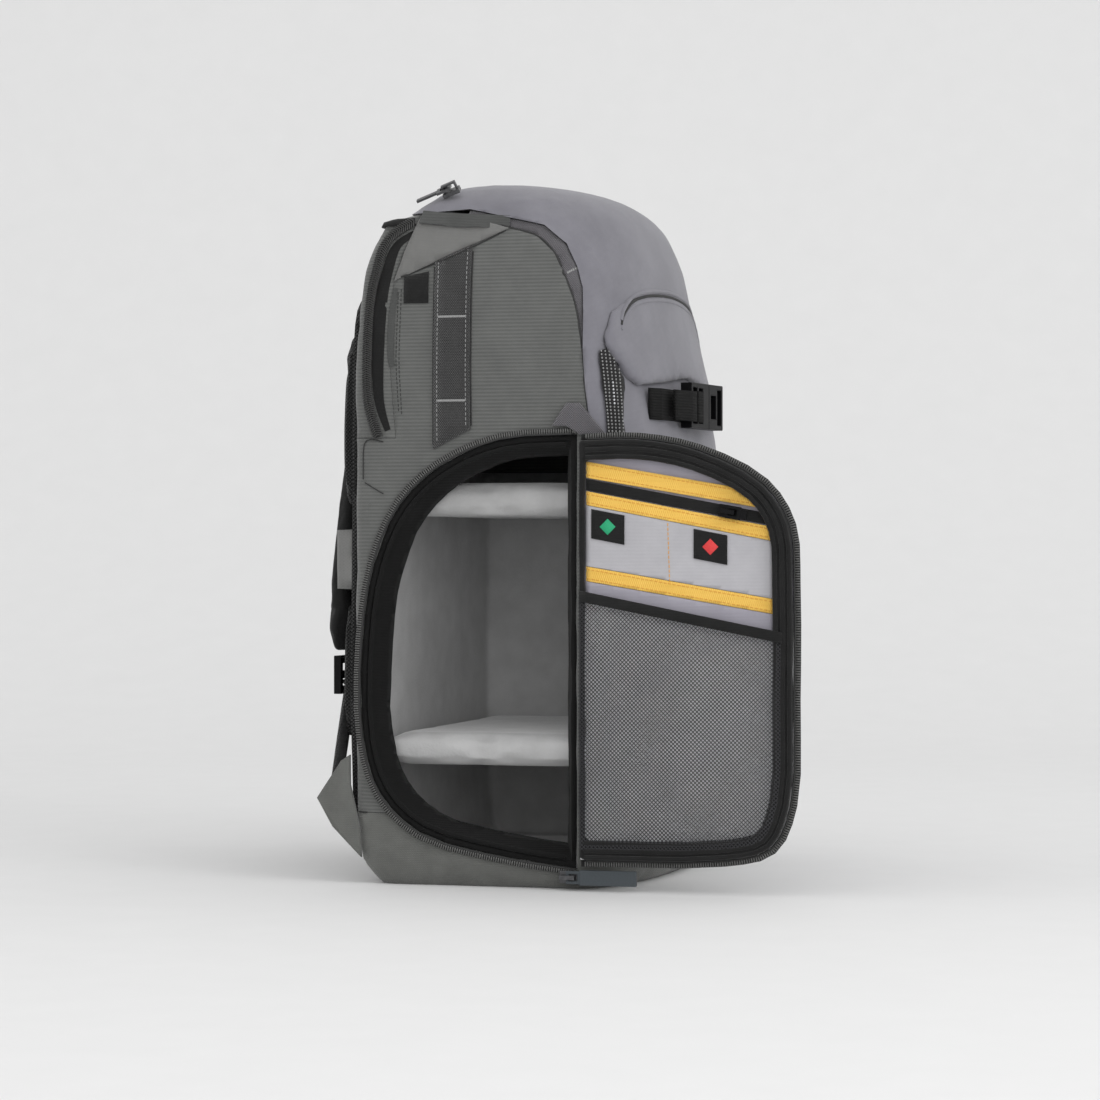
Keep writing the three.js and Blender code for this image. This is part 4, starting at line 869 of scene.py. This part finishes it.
def bar(length, width, height, round_edge, turn=0):
    """A small rounded bar along X, in millimetres, to be copied."""
    bpy.ops.object.select_all(action="DESELECT")
    bpy.ops.mesh.primitive_cube_add(size=1)
    obj = bpy.context.object
    obj.scale = (length * MM, width * MM, height * MM)
    apply_place(obj)
    apply_modifier(obj, "BEVEL", width=round_edge * MM, segments=1)
    obj.rotation_euler = (0, 0, math.radians(turn))
    apply_place(obj)
    return obj


tooth = bar(1.0, 3.4, 1.3, 0.35)
chevron_front = bar(1.0, 4.2, 1.5, 0.35, turn=28)
chevron_back = bar(1.0, 4.2, 1.5, 0.35, turn=-28)
stitch = bar(2.1, 0.55, 0.45, 0.15)
short_stitch = bar(1.3, 1.5, 0.5, 0.15)
bead = bar(1.3, 1.15, 1.1, 0.35)
templates = [tooth, chevron_front, chevron_back, stitch, short_stitch, bead]

# %% [markdown]
# The door's zip is open, so one half of the coil runs round the opening and the other round the
# door. Rolled piping in black cloth edges the gusset and the door's rim.

# %% Open zip and piping
HINGE_LINE = -61.5
HINGE_CLEAR = 3.5
TOOTH_SPACING = 1.6
for node, name in (("opening_zip", "opening"), ("door_zip", "door")):
    rows = ring_of(node, 1.6, TOOTH_SPACING, HINGE_CLEAR)
    copies(name + "_coil", tooth, rows, coil_nylon_painted_glints)
    cord(name + "_coil_cord", ring_of(node, 3.6, 3, HINGE_CLEAR), 0.7, black_thread)
cord("opening_piping", ring_of("opening_gusset", 1.2, 3, 9), 1.5, shadow_polyester)
for number, inset in enumerate((1.8, 6.4, 11.4)):
    rows = ring_of("door_rim", inset, 3, 4)
    cord(f"rim_piping_{number}", rows, 1.6, black_polyester)

# %% [markdown]
# The rear compartment's zip is closed and sewn in reversed, so its coil shows as chevrons. The
# zip's black tape lies in a recess beside it, and a welt painted darker, as the shade in its fold,
# closes the slit pocket in front.

# %% Rear zips
REAR_ZIP = [
    (56, 441),
    (72.5, 429),
    (80.4, 405.4),
    (84, 383),
    (85.2, 353.5),
    (84.3, 321),
    (77.4, 297.5),
]
SLIT_POCKET = [(66, 398), (68.5, 380), (69.5, 356), (68, 342)]
rear_line = smooth_line(REAR_ZIP, 1.5)
zip_trees = [
    bvh_of(bpy.data.objects[name + "_cloth"])
    for name in ("rear_zip", "rear_compartment", "main_body")
]
for side, x in SIDES:
    for half, template, shift in (("front", chevron_front, -1.7), ("back", chevron_back, 1.7)):
        if x > 0:
            template = chevron_back if template is chevron_front else chevron_front
        spots = [(x, y, z) for y, z in beside(rear_line, shift)]
        rows = cast(zip_trees, spots, (-x, 0, 0), 0.2)
        copies(f"rear_coil_{side}_{half}", template, rows, dark_coil)
    spots = [(x, y, z) for y, z in beside(smooth_line(REAR_ZIP, 4), 7.2)]
    rows = cast(zip_trees, spots, (-x, 0, 0), 0.2)
    widths = 8.5 * np.sin(np.linspace(0.25, math.pi - 0.3, len(rows))) ** 0.6
    band(f"rear_recess_{side}", rows, widths, 0.5, black_polyester)
    spots = [(x, y, z) for y, z in smooth_line(SLIT_POCKET, 4)]
    rows = cast(zip_trees, spots, (-x, 0, 0), 0.35)
    widths = 4.5 * np.sin(np.linspace(0.3, math.pi - 0.6, len(rows))) ** 0.5
    band(f"pocket_fold_{side}", rows, widths, 0.4, shaded_polyester)

# %% [markdown]
# Seams show as thin dark lines where two panels meet. Dark cords along the edges of the patch and
# the webbing are painted shadow under those edges. Thread shows where webbing, patches and hems are
# sewn down. Each row of stitches is a line of short rounded bars.

# %% Seams and stitches
shell_trees = [
    bvh_of(bpy.data.objects[name + "_cloth"])
    for name in (
        "main_body",
        "side_webbing_left",
        "side_webbing_right",
        "corner_patch_left",
        "corner_patch_right",
        "side_label",
        "rear_compartment",
        "base_panel",
        "hood_front_panel",
        "top_zip_garage_left",
        "top_zip_garage_right",
    )
]
HOOD_SEAM = [
    (-66, 312),
    (-63.8, 328.8),
    (-61.2, 354),
    (-57.8, 377.3),
    (-53.7, 391.8),
    (-48.3, 404),
    (-41.6, 418),
    (-29.3, 429.2),
    (-10.2, 435.2),
    (20, 444.1),
    (51, 446.5),
]
# Seam lines, and painted shadow cords under the edges of the patch and the webbing.
SEAM_AND_SHADOW_CORDS = [
    # name, radius, points in the side view
    ("hood_seam", 0.7, HOOD_SEAM),
    ("patch_edge_shadow", 0.5, [(-9, 434), (8, 425.5), (25, 417.5), (45, 410), (64, 403)]),
    ("webbing_edge_front_shadow", 0.5, [(13.4, 303), (13.4, 421)]),
    ("webbing_edge_rear_shadow", 0.5, [(39.6, 291), (39.6, 411)]),
    ("rear_seam", 0.4, [(88.6, 268), (87.3, 294), (73, 294)]),
    ("rear_dart", 0.4, [(88.6, 268), (80, 263), (72.9, 259)]),
    ("base_seam", 0.45, [(94, 48), (84, 48)]),
]
SIDE_SEAMS = [
    # name, finish, spacing, points in the side view
    ("webbing_front", grey_thread, 3.2, [(16.6, 304), (16.6, 423)]),
    ("webbing_rear", grey_thread, 3.2, [(36.4, 294), (36.4, 414)]),
    ("tack_upper", grey_thread, 1.2, [(17, 376.5), (36, 376.5)]),
    ("tack_lower", grey_thread, 1.2, [(17, 321), (36, 321)]),
    ("tack_garage", grey_thread, 1.2, [(-50.5, 404), (-57, 408)]),
    ("slit", black_thread, 3.0, [(62.5, 396), (63.4, 350), (61.5, 312)]),
    ("slit_second", black_thread, 3.0, [(64.6, 394), (65.5, 350), (63.6, 314)]),
]
for side, x in SIDES:
    for seam, radius, line in SEAM_AND_SHADOW_CORDS:
        spots = [(x, y, z) for y, z in smooth_line(line, 3)]
        rows = cast(shell_trees, spots, (-x, 0, 0), 0.3)
        cord(f"{seam}_cord_{side}", rows, radius, black_thread)
    for seam, finish, spacing, line in SIDE_SEAMS:
        spots = [(x, y, z) for y, z in smooth_line(line, spacing)]
        rows = cast(shell_trees, spots, (-x, 0, 0), 0.1)
        template = short_stitch if spacing < 2 else stitch
        copies(f"{seam}_stitches_{side}", template, rows, finish)

# %% [markdown]
# The hood ends in a wide hem with the top zip under it. The hem is a band of cloth painted darker,
# as shade, that runs from the rear corner to the zip's garage.

# %% Hood hem
HEM = [(-12, 439), (4, 439.6), (20, 440.2), (38, 441.8), (53, 443.6)]
for side, x in SIDES:
    spots = [(x, y, z) for y, z in smooth_line(HEM, 4)]
    rows = cast(shell_trees, spots, (-x, 0, 0), 1.2)
    widths = np.linspace(8.5, 10.5, len(rows))
    band(f"hood_hem_{side}", rows, widths, 0.8, shaded_polyester)

# %% [markdown]
# The hood's front pocket closes with a hidden zip under a rolled lip, so its arch has a dark
# slit between two soft ridges. The arch is drawn in the front view, as half of it from the middle
# outwards, and cast inwards.

# %% Pocket lip
POCKET_MIDDLE_Y = -85
POCKET_ARCH = [
    (0, 398.4),
    (33, 397.4),
    (67.5, 394.6),
    (100.5, 389),
    (124.5, 379.2),
    (132, 371),
]
pocket_trees = [
    bvh_of(bpy.data.objects[name + "_cloth"]) for name in ("front_pocket", "hood_front_panel")
]
arch = [(-x, z) for x, z in reversed(POCKET_ARCH)] + POCKET_ARCH[1:]
for name, rise, radius, finish, lift in (
    # The slit's black cord is painted shade in the gap under the lip.
    ("slit", -1.0, 1.1, black_thread, -0.2),
    ("upper_ridge", 2.0, 1.5, smooth_polyester, -0.3),
    ("lower_ridge", -4.2, 1.3, smooth_polyester, -0.5),
):
    spots = [(x, POCKET_MIDDLE_Y, z + rise) for x, z in smooth_line(arch, 3)]
    rows = cast(pocket_trees, spots, None, lift)
    cord("pocket_" + name, rows, radius, finish)

# %% [markdown]
# The strips beside the front pocket are webbing with raised cords in black and grey. Each cord
# is a row of beads, and one short dash in the middle is white.

# %% Strip cords
STRIP = [(-76.0, 354), (-82.7, 292), (-85.9, 198), (-84.8, 52)]
DASH_LOW, DASH_HIGH = 318, 334
for side, x in SIDES:
    strip_trees = [bvh_of(bpy.data.objects[f"front_strip_{side}_cloth"])]
    for number in range(5):
        shift = (number - 2) * 1.75
        spots = [(x, y, z) for y, z in smooth_line([(y + shift, z) for y, z in STRIP], 2.3)]
        if number == 2:
            white = [s for s in spots if DASH_LOW < s[2] < DASH_HIGH]
            rows = cast(strip_trees, white, (-x, 0, 0), 0.5)
            copies(f"strip_dash_{side}", bead, rows, pale_thread)
        rows = cast(strip_trees, spots, (-x, 0, 0), 0.1)
        copies(f"strip_cord_{side}_{number}", bead, rows, grey_thread)

# %% [markdown]
# A square printed on each tag is turned by an eighth of a turn. Amber thread sews the tapes
# down, and a second line of it divides the pocket.

# %% Tag prints and tape thread
BEFORE_DOOR_X = -180
door_trees = [
    bvh_of(bpy.data.objects[name + "_cloth"])
    for name in ("tape_upper", "tape_middle", "tape_lower", "pocket_panel", "tag_green", "tag_red")
]
for colour, finish in (("green", green_print), ("red", red_print)):
    low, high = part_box("tag_" + colour)
    square = bar(7.5, 7.5, 0.4, 0.1, turn=45)
    middle = (low + high) / 2 / MM
    rows = cast(door_trees, [(BEFORE_DOOR_X, middle.y, middle.z)] * 2, (1, 0, 0), 0.1)
    rows = [(rows[0][0], Vector((0, 0, 1)), rows[0][2])]
    copies(f"tag_square_{colour}", square, rows, finish)
    bpy.data.objects.remove(square)


DOOR_BOTTOM, DOOR_HEIGHT = 21, 273
DOOR_START, DOOR_LENGTH = -63, 141


def door_level(share_hinge, share_outer, y):
    """The height of a slanting level in the door at some distance in front of its hinge."""
    share = share_hinge + (share_outer - share_hinge) * (DOOR_START - y) / DOOR_LENGTH
    return DOOR_BOTTOM + DOOR_HEIGHT * share


THREAD_INSET = 0.9
TAPE_ROWS = {
    # tape: its middle's level at the hinge and at the outer edge, and half its height
    "upper": (0.932, 0.842, 4.3),
    "middle": (0.8645, 0.766, 3.6),
    "lower": (0.684, 0.597, 3.9),
}
for tape, (hinge_share, outer_share, half_height) in TAPE_ROWS.items():
    for edge_name, edge in (("low", -1), ("high", 1)):
        offset = edge * (half_height - THREAD_INSET)
        spots = [
            (BEFORE_DOOR_X, y, door_level(hinge_share, outer_share, y) + offset)
            for y in np.arange(-69, -190, -3.0)
        ]
        rows = cast(door_trees[:3], spots, (1, 0, 0), 0.1)
        copies(f"tape_thread_{tape}_{edge_name}", stitch, rows, amber_thread)
spots = [(BEFORE_DOOR_X, -121.7 - 1.4 * t, 241.8 - 42 * t) for t in np.linspace(0, 1, 15)]
rows = cast(door_trees[3:4], spots, (1, 0, 0), 0.1)
copies("pocket_divide_thread", stitch, rows, amber_thread)

# %% [markdown]
# The door's lower pocket is open net. A flat grid is turned by an eighth of a turn and cut to
# the pocket's outline, each of its faces is inset and its middle removed, and the strands that
# stay get a thickness. The net bulges a little towards the viewer.

# %% Net pocket
NET_PITCH = 2.6
NET_STRAND = 0.48
net_low, net_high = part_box("mesh_pocket")
net_solid = BVHTree.FromPolygons(
    [v.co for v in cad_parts["mesh_pocket"].data.vertices],
    [p.vertices[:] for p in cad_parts["mesh_pocket"].data.polygons],
)
net_size = max((net_high - net_low)[1:]) * 1.5
net_cells = int(net_size / (NET_PITCH * MM / math.sqrt(2)))
bpy.ops.object.select_all(action="DESELECT")
bpy.ops.mesh.primitive_grid_add(x_subdivisions=net_cells, y_subdivisions=net_cells, size=net_size)
net = bpy.context.object
net.name = "net"
net.rotation_euler = (0, 0, math.pi / 4)
apply_place(net)
net.rotation_euler = (0, -math.pi / 2, 0)
net.location = (net_low + net_high) / 2
apply_place(net)


def on_net(spot):
    """Whether a point lies over the net's solid."""
    return net_solid.ray_cast(Vector((-0.3, spot[1], spot[2])), Vector((1, 0, 0)))[0] is not None


pick(net)
bpy.ops.object.mode_set(mode="EDIT")
bpy.ops.mesh.select_mode(type="FACE")
bpy.ops.mesh.select_all(action="DESELECT")
bpy.ops.object.mode_set(mode="OBJECT")
for face in net.data.polygons:
    face.select = not on_net(face.center)
bpy.ops.object.mode_set(mode="EDIT")
bpy.ops.mesh.delete(type="FACE")
bpy.ops.mesh.select_all(action="SELECT")
bpy.ops.mesh.inset(thickness=NET_STRAND / 2 * MM, depth=0, use_individual=True)
bpy.ops.mesh.delete(type="FACE")
bpy.ops.object.mode_set(mode="OBJECT")
net_spots = points_of(net)
net_middle = np.array((net_low + net_high) / 2)
net_half = np.array((net_high - net_low) / 2)
net_share = np.clip(1 - ((net_spots - net_middle)[:, 1:] / net_half[1:]) ** 2, 0, 1).prod(1)
net_spots[:, 0] -= 3.0 * MM * net_share
set_points(net, net_spots)
apply_modifier(net, "SOLIDIFY", thickness=0.5 * MM, offset=0)
finish_piece(net, net_nylon, ["mesh_pocket"])
print("net faces:", len(net.data.polygons))

for template in templates:
    bpy.data.objects.remove(template)

# %% [markdown]
# A sheet of lining covers the door's panel. Behind the net it is pale knit, painted paler still as
# light against the shade behind the net, and above the net it is the same cloth as the flap's lining.

# %% Door lining
NET_TOP_SHARES = (0.642, 0.54)
door_lining = copy_solid("door_panel", "door_lining_sheet")
cut_fine(door_lining, 4, axes=(1, 2))
sheet_spots = points_of(door_lining)
door_face = sheet_spots[:, 0].min()
sheet_front = sheet_spots[:, 0] < door_face + 1 * MM
sheet_spots[:, 0] = door_face - np.where(sheet_front, 0.15, 0.02) * MM
set_points(door_lining, sheet_spots)
door_ripple(door_lining, 0.15)
smooth_shade(door_lining)
finish_piece(door_lining, pale_knit_painted_light)
door_lining.data.materials.append(lining_cloth)
for face in door_lining.data.polygons:
    net_top = door_level(*NET_TOP_SHARES, face.center.y / MM)
    face.material_index = 1 if face.center.z / MM > net_top else 0

# %% [markdown]
# Foam lies between the shell's two cloths, so its panels are padded, as are the door, its rim,
# the tray and frame round the opening, and the straps' wings. What is sewn on flat is a sheet.
# The calls below read each sheet's vertices and declare nothing.


def declare_sheet(obj):
    """Reads a flat piece's vertices and does nothing more."""
    spots = points_of(obj)


declare_sheet(net)
declare_sheet(door_lining)
declare_sheet(bpy.data.objects["luggage_band_cloth"])
for node in ("pocket_panel", "lower_flap_lining", "tag_green", "tag_red"):
    declare_sheet(bpy.data.objects[node + "_cloth"])
for side in ("left", "right"):
    for node in ("corner_patch_", "side_webbing_"):
        declare_sheet(bpy.data.objects[node + side + "_cloth"])
declare_sheet(bpy.data.objects["side_label_cloth"])

# %% [markdown]
# The photograph is lit by a wide soft light on plain pale paper. A sweep of paper that curves
# up behind the bag has no horizon, and large lamps give soft shade under the folds.

# %% Paper sweep and lights
SWEEP_START, SWEEP_RADIUS = 1.2, 1.6
paper_finish = moulded("paper", "#E4E4E4", "#E8E8E8", 0.95, 40.0, 0.0)
bpy.ops.object.select_all(action="DESELECT")
bpy.ops.mesh.primitive_grid_add(x_subdivisions=4, y_subdivisions=120, size=14)
paper = bpy.context.object
paper.name = "paper_sweep"
sheet = points_of(paper)
past = np.clip(sheet[:, 1] - SWEEP_START, 0, None)
bend = np.clip(past / SWEEP_RADIUS, 0, math.pi / 2)
straight = past - bend * SWEEP_RADIUS
sheet[:, 2] = SWEEP_RADIUS * (1 - np.cos(bend)) + straight
sheet[:, 1] = np.minimum(sheet[:, 1], SWEEP_START) + SWEEP_RADIUS * np.sin(bend)
set_points(paper, sheet)
paper.rotation_euler = (0, 0, math.atan2(-look.x, look.y))
apply_place(paper)
smooth_shade(paper, 60)
paper.data.materials.append(paper_finish)
paper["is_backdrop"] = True

world = bpy.data.worlds.new("studio")
world.use_nodes = True
world.node_tree.nodes["Background"].inputs["Color"].default_value = linear("#FFFFFF")
world.node_tree.nodes["Background"].inputs["Strength"].default_value = 0.88
bpy.context.scene.world = world

LAMPS = [
    # name, place, size, power
    ("key", (-1.5, -2.5, 1.5), 1.6, 21),
    ("fill", (-2.9, -0.9, 0.5), 2.0, 21),
    ("top", (-0.4, -0.2, 2.4), 1.6, 3),
]
for name, place, size, power in LAMPS:
    lamp = bpy.data.objects.new(name, bpy.data.lights.new(name, "AREA"))
    lamp.data.size = size
    lamp.data.energy = power
    lamp.location = place
    aim = Vector((0, 0, 0.22)) - Vector(place)
    lamp.rotation_euler = aim.to_track_quat("-Z", "Y").to_euler()
    bpy.context.scene.collection.objects.link(lamp)

# %% [markdown]
# Cloth may stand a little proud of the solids. The box round what is shown is printed.

# %% Sizes
low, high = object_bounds()
print("visual box", [round(v, 4) for v in low], [round(v, 4) for v in high])
